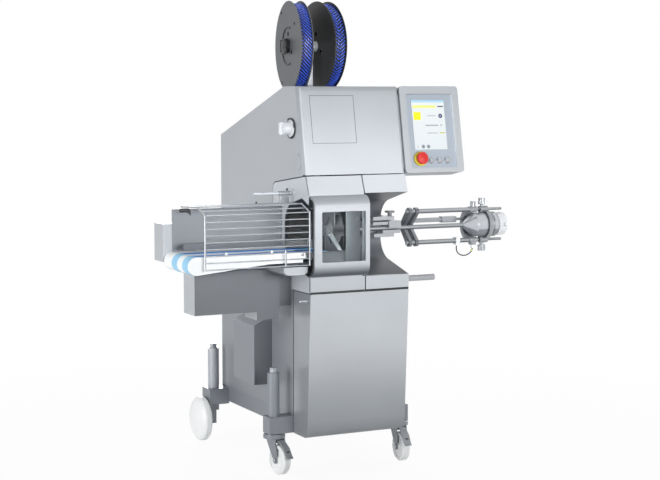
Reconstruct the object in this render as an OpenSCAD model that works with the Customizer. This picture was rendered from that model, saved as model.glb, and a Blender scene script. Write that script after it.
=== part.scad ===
/* [Body] */
// Width of the body from side to side
body_w = 454; // [448:1:466]
// Length of the body behind the cabinet front
body_l = 935; // [925:1:960]
// Thickness of the sheet covers
wall = 3; // [2:0.5:4]
// Open seam between neighbouring covers
seam = 4; // [3:0.5:5]
// Height of the chassis rails above the floor
rail_z = 178; // [174:1:186]
// Depth of the chassis rails
rail_h = 72; // [64:1:76]
// Width of the chassis rails
rail_w = 60; // [40:1:70]
// Thickness of the inner frame plates
plate_t = 8; // [6:1:10]
// Height of the deck that carries the clip frame
deck_z = 768; // [760:1:772]

/* [Cabinet door] */
// Depth of the pan-shaped cabinet door
cab_d = 161; // [150:1:170]
// Height of the cabinet door's lower edge
cab_z = 166; // [164:1:168]
// Lean of the cabinet door's front, degrees
cab_lean = 3; // [1:0.5:4]
// Radius of the cabinet door's lower front bend
cab_r = 28; // [15:1:40]
// Height of the latch pin below the door's upper edge
latch_drop = 27; // [20:1:60]
// Length of the latch pin outside the door
latch_l = 36; // [24:1:44]
// Radius of the latch pin
latch_r = 5; // [4:0.5:6]

/* [Head] */
// Height of the head's lower front edge
head_z = 1246; // [1240:1:1256]
// Height of the head's flat top
head_top = 1605; // [1590:1:1625]
// Lean of the head's front face, degrees
head_lean = 10.6; // [8:0.2:12]
// Depth of the head's lower front edge behind the cabinet front
head_y = 36; // [30:1:40]
// Depth of the head cover's side returns
tray_d = 40; // [30:1:50]
// Radius of the head cover's side bends
bend_r = 12; // [6:1:16]
// Radius of the head cover's upper bend
crown_r = 26; // [15:1:35]
// Depth at which the roof starts to fall
roof_y = 254; // [230:1:270]
// Height of the roof's rear edge
rear_top = 1392; // [1370:1:1410]

/* [Clip frame] */
// Depth of the product axis behind the cabinet front
axis_y = 138; // [134:1:142]
// Height of the product axis
axis_z = 1009; // [1005:1:1013]
// Height of the throat's upper lip above the axis
lip_up = 161; // [156:1:165]
// Drop of the throat's lower lip below the axis
lip_low = 181; // [176:1:184]
// Depth of the upper lip behind the cabinet front
lip_y = 10; // [6:1:12]
// Depth of the throat's back wall behind the cabinet front
throat_y = 248; // [244:1:252]
// Radius of the throat's inner bends
throat_r = 95; // [85:1:100]
// Slope of the throat's upper and lower faces, degrees
throat_slope = 14.5; // [13:0.5:16]
// Depth of the clip frame
frame_l = 365; // [350:1:375]
// Slope of the clip frame's top, degrees
frame_slope = 7.2; // [5:0.2:8]
// Radius of the clip frame's upper rear corner
frame_r = 28; // [15:1:35]
// Wall of the clip frame
frame_wall = 6; // [5:0.5:8]
// Travel of each clip tool towards the axis
tool_travel = 40; // [30:1:42]

/* [Clip door] */
// Width of the clip door
door_w = 248; // [242:1:252]
// Thickness of the clip door's sheet
door_t = 5; // [4:0.5:6]
// Reach of the door's hood in front of the cabinet
hood_d = 44; // [38:1:56]
// Radius of the hood's front bends
hood_r = 44; // [30:1:50]
// Width of the window opening
win_w = 198; // [160:1:200]
// Height of the window opening
win_h = 204; // [160:1:210]
// Thickness of the window pane
pane_t = 5; // [3:0.5:6]

/* [Operator panel] */
// Width of the panel housing
hmi_w = 284; // [272:1:295]
// Height of the panel housing along its lean
hmi_h = 367; // [356:1:370]
// Depth of the panel housing
hmi_d = 92; // [80:1:110]
// Width of the screen
screen_w = 158; // [140:1:170]
// Height of the screen
screen_h = 210; // [190:1:215]
// Radius of the emergency stop's cap
stop_r = 26; // [20:1:28]
// Radius of the push buttons
button_r = 11; // [9:0.5:13]
// Travel of the push buttons
button_travel = 3; // [2:0.5:4]

/* [Side fittings] */
// Depth of the main switch behind the cabinet front
switch_y = 180; // [170:1:200]
// Height of the main switch
switch_z = 1433; // [1420:1:1450]
// Radius of the main switch's skirt
switch_r = 36; // [30:1:40]
// Reach of the main switch from the side panel
switch_l = 57; // [45:1:70]
// Radius of the blind plug
plug_r = 31; // [20:1:34]
// Reach of the side cover from the side panel
cover_d = 83; // [60:1:100]
// Length of the side cover
cover_l = 225; // [180:1:260]
// Height of the side cover's outer face
cover_h = 256; // [200:1:280]
// Rise of the side cover's roof towards the body
cover_rise = 41; // [20:1:60]

/* [Chassis] */
// Height of the outrigger brackets above the floor
bracket_z = 168; // [166:1:172]
// Depth of the outrigger brackets
bracket_h = 71; // [60:1:76]
// Reach of the front brackets from the body
front_reach = 111; // [104:1:130]
// Reach of the rear brackets from the body
rear_reach = 93; // [86:1:96]
// Radius of the posts on the left brackets
post_r = 25; // [20:1:28]
// Height of the posts
post_h = 183; // [120:1:220]

/* [Casters] */
// Distance of the swivel axis from the body's side
swivel_x = 74; // [66:1:80]
// Distance by which the right caster stands nearer the body
right_near = 16; // [0:1:18]
// Depth of the swivel axis behind the cabinet front
swivel_y = 197; // [192:1:205]
// Trail of the caster wheels
trail = 42; // [34:1:46]
// Radius of the caster wheels
caster_r = 62.5; // [55:0.5:64]
// Width of the caster wheels
caster_w = 34; // [28:1:38]
// Turn of the left caster from straight, degrees
left_turn = 8; // [-20:1:20]
// Turn of the right caster from straight, degrees
right_turn = -6; // [-20:1:20]

/* [Rear wheels] */
// Radius of the rear wheels
rear_r = 100; // [96:1:104]
// Width of the rear wheels
rear_w = 58; // [45:1:64]
// Gap between a rear bracket and its wheel
rear_gap = 5; // [3:1:8]
// Distance of the rear axles from the body's rear end
rear_in = 23; // [17:1:35]
// Radius of the rear axle
rear_axle_r = 12; // [10:0.5:14]

/* [Conveyor] */
// Distance of the nose roller's centre from the body
nose_x = 490; // [460:1:520]
// Outer radius of the belts round the nose
nose_r = 37; // [32:1:40]
// Distance of the drive roller's centre inside the body
drive_x = 80; // [60:1:90]
// Outer radius of the belts round the drive roller
drive_r = 21; // [19:1:24]
// Drop of the belts below the product axis
belt_drop = 70; // [66:1:74]
// Width of each belt
belt_w = 58; // [50:1:60]
// Thickness of the belts
belt_t = 3; // [2:0.5:4]
// Depth of the bed's front plate behind the cabinet front
bed_y = 6; // [2:1:10]
// Thickness of the bed's front plate
bed_front = 5; // [4:1:8]
// Width of the bed's middle band
bed_mid = 57; // [50:1:60]
// Width of the bed's rear band
bed_rear = 85; // [75:1:90]
// Gap between the bed and the body
bed_gap = 18; // [12:1:24]
// Width of the motor box
motor_box_w = 138; // [110:1:160]
// Depth of the motor box
motor_box_d = 101; // [80:1:120]
// Height of the motor box
motor_box_h = 153; // [130:1:170]
// Length of the drive box
drive_box_l = 375; // [320:1:390]
// Depth of the drive box
drive_box_d = 119; // [100:1:125]
// Height of the drive box
drive_box_h = 174; // [150:1:190]

/* [Guard] */
// Length of the wire guard along the conveyor
guard_l = 452; // [420:1:466]
// Reach of the guard in front of the cabinet front
guard_y = 14; // [8:1:20]
// Height of the guard's front
guard_h = 213; // [190:1:220]
// Radius of the guard's frame rods
guard_r = 3.5; // [3:0.5:4]
// Radius of the guard's wires
wire_r = 2.2; // [1.5:0.1:2.5]
// Depth of the guard's pivot rod behind the cabinet front
pivot_y = 165; // [155:1:175]
// Height of the guard's pivot rod above the product axis
pivot_up = 159; // [152:1:165]
// Length of the guard's pivot rod
pivot_l = 177; // [150:1:200]
// Radius of the guard's pivot rod
pivot_r = 5; // [4:0.5:8]

/* [Reels] */
// Radius of the reels
reel_r = 191; // [170:1:195]
// Width of the reels over their flanges
reel_w = 54; // [44:1:58]
// Thickness of the reel flanges
flange_t = 3; // [2:0.5:4]
// Depth of the reel stand behind the cabinet front
reel_y = 400; // [390:1:420]
// Height of the reel axles above the head's flat top
reel_up = 171; // [168:1:185]
// Distance of the reel stand from the body's left side
stand_x = 183; // [175:1:200]
// Gap between the stand and each reel
reel_gap = 24; // [20:1:34]
// Angle by which the left reel turns from square, degrees
reel_splay = 8; // [4:1:10]
// Radius of the reel axles
reel_axle_r = 14; // [10:0.5:16]
// Radius of the wound coil
coil_r = 178; // [150:1:188]

/* [Infeed] */
// Radius of the horn tube
horn_r = 9.5; // [8:0.5:10.5]
// Radius of the horn's bore
horn_bore = 7; // [5:0.5:7.5]
// Radius of the horn's filling inlet
inlet_r = 36; // [30:0.5:38]
// Radius of the horn's drum
drum_r = 52; // [50:0.5:53]
// Radius of the horn's clamp seat
seat_r = 47; // [44:0.5:48]
// Distance of the horn's cone from the body
cone_at = 346; // [330:1:350]
// Length of the horn's cone
cone_l = 45; // [35:1:55]
// Spacing of each guide rod from the product axis
rod_off = 66.5; // [66:0.5:70]
// Radius of the guide rods
rod_r = 10; // [9:0.5:11]
// Radius of the guide rods' slim ends
rod_end_r = 6; // [5:0.5:7]
// Distance of the first rod bracket from the body
yoke_at = 72; // [66:1:80]
// Thickness of the rod brackets
yoke_t = 14; // [10:1:16]
// Spacing of the two rod brackets
yoke_pitch = 32; // [26:1:40]
// Distance of the end bracket from the body
end_at = 376; // [372:1:378]
// Width of the end bracket
end_w = 36; // [30:1:38]
// Radius of the union nut
nut_r = 50; // [48:1:56]
// Length of the union nut
nut_l = 38; // [30:1:42]
// Length of the coupling bar
bar_l = 166; // [120:1:200]
// Radius of the coupling bar
bar_r = 13; // [10:0.5:14]

/* [Drive] */
// Radius of the drive motor
motor_r = 70; // [60:1:74]
// Length of the drive motor
motor_l = 240; // [180:1:260]
// Radius of the crank disc
crank_r = 62; // [50:1:70]

/* [Fits] */
// Running clearance round pins and shafts
fit = 0.05; // [0.03:0.01:0.08]
// Clearance between moving faces
clear = 0.3; // [0.2:0.1:0.5]

/* [Hidden] */
$fn = 64;

steel = "#c4c8cd";
bright = "#dfe3e8";
dark_steel = "#6d7278";
white = "#eef0f0";
belt_blue = "#8fc3e0";
coil_blue = "#1f5fb8";
black = "#26282b";
red = "#c8201c";
yellow = "#e8b80c";
panel_grey = "#9fabb8";
glass = "#bcd3dc";

// Heights and depths that follow from the sizes above
base_z = rail_z + rail_h;
floor_z = base_z + plate_t;
lip_up_z = axis_z + lip_up;
lip_low_z = axis_z - lip_low;
frame_top = head_z - seam;
mouth_y = -hood_d - seam;
split_x = door_w + seam + 1.5;
hinge_room = 7;
body_y = cab_d + hinge_room;
roof_pitch = atan((head_top - rear_top) / (body_l - roof_y));
belt_z = axis_z - belt_drop;
bed_z = belt_z - 1;
bed_nose_r = nose_r - 1;
bed_end_r = 13;
belt_gap = 0.5;
belt1_y = bed_y + bed_front + belt_gap;
mid_y = belt1_y + belt_w + belt_gap;
belt2_y = mid_y + bed_mid + belt_gap;
band_y = belt2_y + belt_w + belt_gap;
bed_back = band_y + bed_rear;
nose_z = belt_z - nose_r;
drive_z = belt_z - drive_r;
reel_z = head_top + reel_up;
pivot_z = axis_z + pivot_up;
bracket_top = bracket_z + bracket_h;
post_top = bracket_top + post_h;
motor_box_x = -nose_x - nose_r - 3;

// Stations along the horn, measured from the body's right side
drum_l = 52;
clamp_at = cone_at + cone_l + drum_l + 4;
clamp_w = 20;
collar_at = clamp_at + clamp_w + 12;
collar_w = 19;
nut_at = collar_at + collar_w + 7;

rear_y = body_l - rear_in;

// Middle of the outline, which the finished part is centred on
x_mid = (motor_box_x + body_w + nut_at + nut_l) / 2;
y_mid = (rear_y + rear_r - hood_d) / 2;

// Shared placing and drawing helpers
module in_frame() translate([-x_mid, -y_mid, 0]) children();
module along_x(x0, x1) translate([x0, 0, 0]) rotate([90, 0, 90]) linear_extrude(x1 - x0) children();
module along_y(y0, y1) translate([0, y1, 0]) rotate([90, 0, 0]) linear_extrude(y1 - y0) children();
module along_z(z0, z1) translate([0, 0, z0]) linear_extrude(z1 - z0) children();
module block(x, y, z) translate([x[0], y[0], z[0]]) cube([x[1] - x[0], y[1] - y[0], z[1] - z[0]]);
module rod_x(x0, x1, y, z, r) translate([x0, y, z]) rotate([0, 90, 0]) cylinder(h = x1 - x0, r = r);
module rod_y(y0, y1, x, z, r) translate([x, y0, z]) rotate([-90, 0, 0]) cylinder(h = y1 - y0, r = r);
module rod_z(z0, z1, x, y, r) translate([x, y, z0]) cylinder(h = z1 - z0, r = r);
module on_head() translate([0, head_y, head_z]) rotate([-head_lean, 0, 0]) children();

module round_rect(x, y, r) {
    translate([x[0] + r, y[0]]) square([x[1] - x[0] - 2 * r, y[1] - y[0]]);
    translate([x[0], y[0] + r]) square([x[1] - x[0], y[1] - y[0] - 2 * r]);
    for (u = [x[0] + r, x[1] - r], v = [y[0] + r, y[1] - r]) translate([u, v]) circle(r);
}

// Two circles joined by their outer tangents
module strap(c0, r0, c1, r1) {
    d = c1 - c0;
    run = atan2(d[1], d[0]);
    lean = acos((r0 - r1) / norm(d));
    up = [cos(run + lean), sin(run + lean)];
    down = [cos(run - lean), sin(run - lean)];
    polygon([c0 + r0 * up, c1 + r1 * up, c1 + r1 * down, c0 + r0 * down]);
    translate(c0) circle(r0);
    translate(c1) circle(r1);
}

function head_face(z) = head_y + (z - head_z) * tan(head_lean);
function roof_z(y) = y < roof_y ? head_top : head_top - (y - roof_y) * tan(roof_pitch);

// Corner of a folded sheet's inner face
function inner(p, n1, n2) = p - wall * (n1 + n2) / (1 + n1 * n2);
roof_n = [sin(roof_pitch), cos(roof_pitch)];
roof_bend = inner([roof_y, head_top], [0, 1], roof_n);
rear_bend = inner([body_l, rear_top], roof_n, [1, 0]);

// Section of the throat, wider by grow on every side
module throat(grow = 0) {
    r = throat_r + grow;
    yc = throat_y - throat_r;
    t = tan(throat_slope);
    reach = 1 / cos(throat_slope);
    up_z = lip_up_z - (yc - lip_y) * t - throat_r * reach;
    low_z = lip_low_z + yc * t + throat_r * reach;
    tangent = r * [sin(throat_slope), cos(throat_slope)];
    polygon([
        [mouth_y, lip_up_z + (lip_y - mouth_y) * t + grow * reach],
        [yc + tangent[0], up_z + tangent[1]],
        [throat_y + grow, up_z],
        [throat_y + grow, low_z],
        [yc + tangent[0], low_z - tangent[1]],
        [mouth_y, lip_low_z + mouth_y * t - grow * reach]
    ]);
    for (z = [up_z, low_z]) translate([yc, z]) circle(r);
}

// Section of the bay that the clip frame fills
module clip_bay(grow = 0) {
    r = frame_r + grow;
    yc = frame_l - frame_r;
    t = tan(frame_slope);
    zc = frame_top - (yc - head_y) * t - frame_r / cos(frame_slope);
    polygon([
        [mouth_y, deck_z - grow],
        [frame_l + grow, deck_z - grow],
        [frame_l + grow, zc],
        [yc + r * sin(frame_slope), zc + r * cos(frame_slope)],
        [mouth_y, frame_top + (head_y - mouth_y) * t + grow / cos(frame_slope)]
    ]);
    translate([yc, zc]) circle(r);
}

// Section of the clip frame, with its front set back and its walls taken in
module frame_section(back, grow = 0) {
    f = back + grow;
    difference() {
        intersection() {
            clip_bay(-grow);
            polygon([
                [f, deck_z], [f, lip_low_z], [lip_y + f, lip_up_z], [head_y + f, frame_top],
                [frame_l, frame_top], [frame_l, deck_z]
            ]);
        }
        throat(grow);
    }
}

// Floor, deck, web and control box inside the covers, with the cabinet door's hinge rod
gear_x = 140;
gear_z = floor_z + 82;
gear_y = body_y + 62;
cab_hinge = [body_w - 11, cab_d - 11];
cab_rod_r = 4;
cab_lug_z = deck_z - seam - wall - plate_t - 2;
module cabinet_lug(z) {
    back_x = cab_hinge[0] - 40;
    block([back_x, cab_hinge[0] + cab_rod_r], [cab_hinge[1] - 5, cab_hinge[1] + 5], [z, z + plate_t]);
    block([back_x, back_x + 12], [cab_hinge[1] - 5, body_y + 1], [z, z + plate_t]);
}
module machine_frame() in_frame() color(dark_steel) {
    web_x = body_w / 2 + 10;
    block([wall, body_w - wall], [body_y, body_l - wall], [base_z, floor_z]);
    block([wall, body_w - wall], [body_y, body_l - wall], [deck_z - plate_t, deck_z]);
    block([web_x, web_x + plate_t], [body_y + 170, body_l - wall], [floor_z, deck_z]);
    block([web_x, web_x + plate_t], [frame_l + 20, body_l - wall], [deck_z, rear_top - 30]);
    block([cab_hinge[0] - 40, cab_hinge[0] - 28], [body_y, body_y + 30], [cab_lug_z, deck_z]);
    block([web_x + 26, body_w - 14], [gear_y, gear_y + 190], [floor_z, floor_z + 360]);
    block([web_x + 34, body_w - 22], [gear_y - 4, gear_y + 1], [floor_z + 8, floor_z + 352]);
    cabinet_lug(base_z);
    cabinet_lug(cab_lug_z);
    rod_z(base_z, cab_lug_z + plate_t, cab_hinge[0], cab_hinge[1], cab_rod_r);
}

// Chassis rails with their outriggers, posts and rear axles
king_r = 8;
king_l = 25;
front_y = body_y - 5;
front_l = 66;
rear_y0 = rear_y - 54;
rear_l = 92;
hanger = [48, 76];
module outrigger(reach, y0, l) block([-reach, 1], [y0, y0 + l], [bracket_z, bracket_top]);
module post(u, y) {
    rod_z(bracket_top - 1, post_top, -u, y, post_r);
    rod_z(post_top, post_top + 6, -u, y, post_r - 8);
    translate([-u, y, post_top + 6]) cylinder(h = 15, r = post_r - 9, $fn = 6);
}
module rear_axle() {
    block([-hanger[1] - 11, -hanger[0] + 11], [rear_y - 25, rear_y + 25], [bracket_z - 31, bracket_z + 1]);
    block([-hanger[1], -hanger[0]], [rear_y - 20, rear_y + 20], [rear_r - 24, bracket_z - 30]);
    wheel_out = rear_reach + rear_gap + rear_w;
    rod_x(axle_in + 1 - wheel_out, -hanger[0], rear_y, rear_r, rear_axle_r);
    rod_x(-rear_reach - rear_gap + clear, -hanger[0], rear_y, rear_r, rear_axle_r + 6);
}
module chassis_side(posts, near) difference() {
    union() {
        block([0, rail_w], [body_y, body_l], [rail_z, base_z]);
        outrigger(front_reach - near * 1.25, front_y, front_l);
        outrigger(rear_reach, rear_y0, rear_l);
        rear_axle();
        if (posts) {
            post(swivel_x + 3, swivel_y);
            post(rear_reach - post_r - 12, rear_y - 7);
        }
    }
    rod_z(bracket_z - 1, bracket_z + king_l + 1, near - swivel_x, swivel_y, king_r + fit);
}
module chassis_rails() in_frame() color(steel) {
    chassis_side(true, 0);
    translate([body_w, 0, 0]) mirror([1, 0, 0]) chassis_side(false, right_near);
}

// Side panels, cut out round the clip frame
tray_back = (tray_d + 0.6) / cos(head_lean);
module side_outline() difference() {
    polygon([
        [head_face(head_z) + tray_back, head_z - 60],
        [head_face(head_z) + tray_back, head_z],
        [head_face(head_top - wall) + tray_back, head_top - wall],
        roof_bend, rear_bend,
        [body_l - wall, base_z], [body_y, base_z], [body_y, head_z - 60]
    ]);
    clip_bay(seam);
}
module left_side_panel() in_frame() color(steel) difference() {
    union() {
        along_x(0, wall) side_outline();
        rod_x(-4, 1, head_face(head_z) + tray_back + plug_r + 9, head_z + 50, plug_r);
    }
    rod_x(-1, wall + 1, switch_y, switch_z, 6 + fit);
}
module right_side_panel() in_frame() color(steel) along_x(body_w - wall, body_w) side_outline();

// Roof, falling rear roof and rear wall, folded from one sheet
module rear_cover() in_frame() color(steel) along_x(0, body_w) polygon([
    [head_face(head_top) + tray_back, head_top], [roof_y, head_top], [body_l, rear_top],
    [body_l, base_z], [body_l - wall, base_z], rear_bend, roof_bend,
    [head_face(head_top) + tray_back, head_top - wall]
]);

// Leaning head cover with round side bends and a round crown
lap = 0.1;
function arc(c, r, a0, a1, n = 10) = [for (i = [0 : n]) let (a = a0 + (a1 - a0) * i / n) c + r * [cos(a), sin(a)]];
module head_region(w) {
    zc = head_top - crown_r;
    c = [head_face(zc) + (crown_r - lap) / cos(head_lean), zc];
    far = head_face(head_top) + 2 * tray_d;
    foot = [head_face(head_z + w) + (w - lap) / cos(head_lean), head_z + w];
    polygon(concat([foot], arc(c, crown_r - w, 180 - head_lean, 90), [[far, head_top - w], [far, head_z + w]]));
}
module tray_plan(w) {
    r = bend_r - w / 2;
    d = tray_d + (w > 0 ? 20 : 0);
    translate([w, w + r]) square([body_w - 2 * w, d - w - r]);
    translate([w + r, w]) square([body_w - 2 * w - 2 * r, d - w]);
    for (x = [w + r, body_w - w - r]) translate([x, w + r]) circle(r);
}
module head_solid(w) intersection() {
    along_x(0, body_w) head_region(w);
    on_head() translate([0, 0, -20]) linear_extrude(head_top - head_z + 80) tray_plan(w);
}
module head_cover() in_frame() color(steel) difference() {
    head_solid(0);
    head_solid(wall);
}

// Clip frame: a hollow C round the throat, with the clip door's hinge rod and the guard's pivot rod
door_back = door_t + 7;
door_hinge = [door_w - 7, 2];
door_rod_r = 4;
lug_h = 20;
lug_l = 84;
rod_low_z = lip_low_z + 14;
rod_up_z = lip_up_z - 14;
module clip_frame() in_frame() color(steel) {
    difference() {
        union() {
            along_x(0, split_x) frame_section(door_back);
            along_x(split_x, body_w) frame_section(0);
        }
        along_x(frame_wall, split_x + frame_wall + 1) frame_section(door_back, frame_wall);
        along_x(split_x + frame_wall, body_w - frame_wall) frame_section(0, frame_wall);
        block([frame_wall, body_w - frame_wall], [frame_l - frame_wall - 1, frame_l + 1],
            [deck_z + 60, axis_z + 100]);
    }
    for (z = [rod_low_z, rod_up_z - lug_h])
        block([door_hinge[0] - 6, door_hinge[0]], [door_hinge[1] - door_rod_r, lug_l], [z, z + lug_h]);
    rod_z(rod_low_z, rod_up_z, door_hinge[0], door_hinge[1], door_rod_r);
    rod_x(-pivot_l, 1, pivot_y, pivot_z, pivot_r);
    rod_x(-6, 1, pivot_y, pivot_z, pivot_r + 12);
    rod_x(-pivot_l, hub_x[0] - clear, pivot_y, pivot_z, pivot_r + 1);
}

// Sloped cover over the side drive
cover_y = 380;
cover_z = 338;
module cover_section(w) polygon([
    [-cover_d + w, cover_z + w], [1 - min(w, 1), cover_z + w],
    [1 - min(w, 1), cover_z + cover_h + cover_rise - w], [-cover_d + w, cover_z + cover_h - w]
]);
module side_cover() in_frame() color(steel) difference() {
    intersection() {
        along_y(cover_y, cover_y + cover_l) cover_section(0);
        block([-cover_d, 0], [cover_y, cover_y + cover_l], [cover_z, cover_z + cover_h + cover_rise]);
    }
    along_y(cover_y + wall, cover_y + cover_l - wall) cover_section(wall);
}

// Operator panel beside the head, drawn in the head's leaning plane
hmi_gap = 6;
hmi_x = body_w + hmi_gap;
hmi_r = 14;
bezel = [29, 20];
bezel_top = 33;
bezel_right = 30;
recess_d = 12;
panel_t = 3;
panel_x = [hmi_x + bezel[0], hmi_x + hmi_w - bezel_right];
panel_z = [bezel[1], hmi_h - bezel_top];
face_d = recess_d - panel_t;
screen_z = panel_z[1] - 26 - screen_h;
screen_x = panel_x[0] + 27;
stop_x = panel_x[0] + 48;
stop_z = panel_z[0] + 39;
button_x = [stop_x + 53, stop_x + 92, stop_x + 131];
button_z = stop_z - 8;
module hmi_housing() in_frame() color(steel) on_head() difference() {
    union() {
        along_y(0, hmi_d) round_rect([hmi_x, hmi_x + hmi_w], [0, hmi_h], hmi_r);
        block([body_w, hmi_x + 1], [14, hmi_d - 12], [bezel[1], hmi_h - bezel_top]);
    }
    along_y(-1, recess_d) round_rect(panel_x, panel_z, 6);
    block([hmi_x + wall, hmi_x + hmi_w - wall], [recess_d + wall, hmi_d - wall], [wall + 5, hmi_h - wall - 5]);
    block([body_w - 1, hmi_x + wall + 1], [30, hmi_d - 30], [80, hmi_h - 80]);
    for (x = button_x) rod_y(recess_d - 1, recess_d + wall + 1, x, button_z, button_r + 1);
    rod_y(recess_d - 1, recess_d + wall + 1, stop_x, stop_z, 10);
}
module hmi_panel() in_frame() color(panel_grey) on_head() difference() {
    union() {
        along_y(face_d, recess_d) round_rect(panel_x, panel_z, 6);
        for (x = button_x) rod_y(face_d - 4, face_d + 1, x, button_z, button_r + 3);
    }
    for (x = button_x) rod_y(face_d - 5, recess_d + 1, x, button_z, button_r + 0.5);
    rod_y(face_d - 1, recess_d + 1, stop_x, stop_z, 9);
}
module hmi_screen() in_frame() color(glass) on_head()
    along_y(face_d - panel_t, face_d)
        round_rect([screen_x, screen_x + screen_w], [screen_z, screen_z + screen_h], 3);
collar_h = 12;
module stop_collar() in_frame() color(yellow) on_head() difference() {
    rod_y(face_d - collar_h, face_d, stop_x, stop_z, stop_r + 4);
    rod_y(face_d - collar_h - 1, face_d + 1, stop_x, stop_z, 9);
}
module stop_button() in_frame() color(red) on_head() translate([stop_x, face_d - collar_h, stop_z])
    rotate([90, 0, 0]) rotate_extrude() polygon([
        [0, -collar_h - 1], [8.5, -collar_h - 1], [8.5, 6], [15, 8], [stop_r - 2, 8],
        [stop_r, 11], [stop_r, 15], [stop_r - 5, 19], [0, 21]
    ]);
module push_button(i) on_head() translate([button_x[i], face_d - 4, button_z]) rotate([90, 0, 0])
    rotate_extrude() polygon([
        [0, -7], [button_r, -7], [button_r, button_travel + 1],
        [button_r - 2, button_travel + 3], [0, button_travel + 3]
    ]);
module start_button() in_frame() color(bright) push_button(0);
module halt_button() in_frame() color(bright) push_button(1);
module reset_button() in_frame() color(bright) push_button(2);

// Rotary main switch on the left side of the head
module main_switch() in_frame() color(black) translate([0, switch_y, switch_z]) {
    rotate([0, -90, 0]) rotate_extrude() polygon([
        [0, -wall - 8], [6, -wall - 8], [6, clear], [switch_r, clear], [switch_r, 6], [switch_r - 9, 10],
        [switch_r - 11, switch_l - 18], [switch_r - 14, switch_l - 14], [0, switch_l - 14]
    ]);
    block([-switch_l, -switch_l + 16], [-7, 7], [12 - switch_r, switch_r - 12]);
}

// Discharge conveyor
nose = [-nose_x, nose_z];
drive = [drive_x, drive_z];
bed_end = [-bed_gap - bed_end_r, bed_z - bed_end_r];
axle_r = 8;
roller_gap = belt_t + clear;
core_z = nose_z - 5;
box_x = -drive_box_l - 62;
box_top = nose_z - nose_r - 7;
box_y = bed_back - drive_box_d + 14;
module bed_band(y0, y1) along_y(y0, y1) strap(nose, bed_nose_r, bed_end, bed_end_r);
module conveyor_bed() in_frame() color(white) difference() {
    union() {
        bed_band(bed_y, bed_y + bed_front);
        bed_band(mid_y, mid_y + bed_mid);
        bed_band(band_y, bed_back);
        block([-nose_x + nose_r + 1, bed_end[0]], [bed_y + 1, bed_back - 1], [core_z, belt_z - roller_gap]);
        block([bed_end[0], drive_x + 16], [mid_y, mid_y + bed_mid], [core_z + 8, belt_z - roller_gap - 3]);
        for (x = [-nose_x + 100, bed_end[0] - 119])
            block([x, x + 40], [band_y + 19, bed_back - 16], [box_top, core_z + 10]);
    }
    rod_y(bed_y + 2, bed_back - 30, nose[0], nose[1], axle_r + fit);
    rod_y(mid_y - 1, mid_y + bed_mid + 1, drive[0], drive[1], axle_r + fit);
}
module conveyor_belts() in_frame() color(belt_blue) for (y = [belt1_y, belt2_y])
    along_y(y, y + belt_w) difference() {
        strap(nose, nose_r, drive, drive_r);
        strap(nose, nose_r - belt_t, drive, drive_r - belt_t);
    }
module roller(c, r, y0, y1) {
    rod_y(y0, y1, c[0], c[1], axle_r);
    for (y = [belt1_y, belt2_y]) rod_y(y, y + belt_w, c[0], c[1], r);
}
module nose_roller() in_frame() color(bright)
    roller(nose, nose_r - roller_gap, bed_y + 2 + clear, bed_back - 31);
module drive_roller() in_frame() color(bright) roller(drive, drive_r - roller_gap, belt1_y, belt2_y + belt_w);

// Box under the conveyor with its flange to the body and the drip tray
step_x = -165;
tray_x = [-112, -6];
tray_z = box_top - 12;
tray_h = 32;
module conveyor_drive_box() in_frame() color(steel) {
    difference() {
        union() {
            block([box_x, box_x + drive_box_l], [box_y, box_y + drive_box_d], [box_top - drive_box_h, box_top]);
            block([step_x, box_x + drive_box_l - 3], [box_y, box_y + drive_box_d],
                [box_top - drive_box_h - 34, box_top - drive_box_h + 1]);
        }
        block([box_x + wall, box_x + drive_box_l - wall], [box_y + wall, box_y + drive_box_d - wall],
            [box_top - drive_box_h - 1, box_top - wall]);
        block([step_x + wall, box_x + drive_box_l - 3 - wall], [box_y + wall, box_y + drive_box_d - wall],
            [box_top - drive_box_h - 35, box_top - drive_box_h]);
    }
    block([box_x + drive_box_l - 1, 0], [box_y + 24, box_y + 96], [box_top - 158, box_top - 18]);
    difference() {
        along_y(bed_y + 8, box_y + 1) round_rect(tray_x, [tray_z, tray_z + 2 * tray_h], 15);
        along_y(bed_y + 8 + wall, box_y - wall)
            round_rect([tray_x[0] + wall, tray_x[1] - wall], [tray_z + wall, tray_z + 2 * tray_h], 12);
        block([tray_x[0] - 1, tray_x[1] + 1], [bed_y, box_y + 2], [tray_z + tray_h, tray_z + 3 * tray_h]);
    }
}
motor_box_z = nose_z - 5;
module conveyor_motor_box() in_frame() color(steel) difference() {
    block([motor_box_x, motor_box_x + motor_box_w], [bed_back, bed_back + motor_box_d],
        [motor_box_z, motor_box_z + motor_box_h]);
    block([motor_box_x + wall, motor_box_x + motor_box_w - wall],
        [bed_back + wall, bed_back + motor_box_d - wall],
        [motor_box_z - 1, motor_box_z + motor_box_h - wall]);
}

// Plate behind the belts with the product rail on stand-offs
back_x = [-nose_x - 2, -3];
product_rail_y = bed_back - 71;
product_rail_z = [belt_z + 9, belt_z + 36];
module guard_back_plate() in_frame() color(steel) {
    block(back_x, [bed_back - wall, bed_back], [bed_z, belt_z + 170]);
    along_y(product_rail_y, product_rail_y + 6) {
        translate([back_x[0] + 35, product_rail_z[0]]) square([back_x[1] - back_x[0] - 59, product_rail_z[1] - product_rail_z[0]]);
        translate([back_x[0] + 35, (product_rail_z[0] + product_rail_z[1]) / 2])
            circle((product_rail_z[1] - product_rail_z[0]) / 2);
    }
    for (x = [back_x[0] + 90, back_x[1] - 90])
        rod_y(product_rail_y + 5, bed_back - wall + 1, x, product_rail_z[0] + 13, 6);
}

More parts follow.
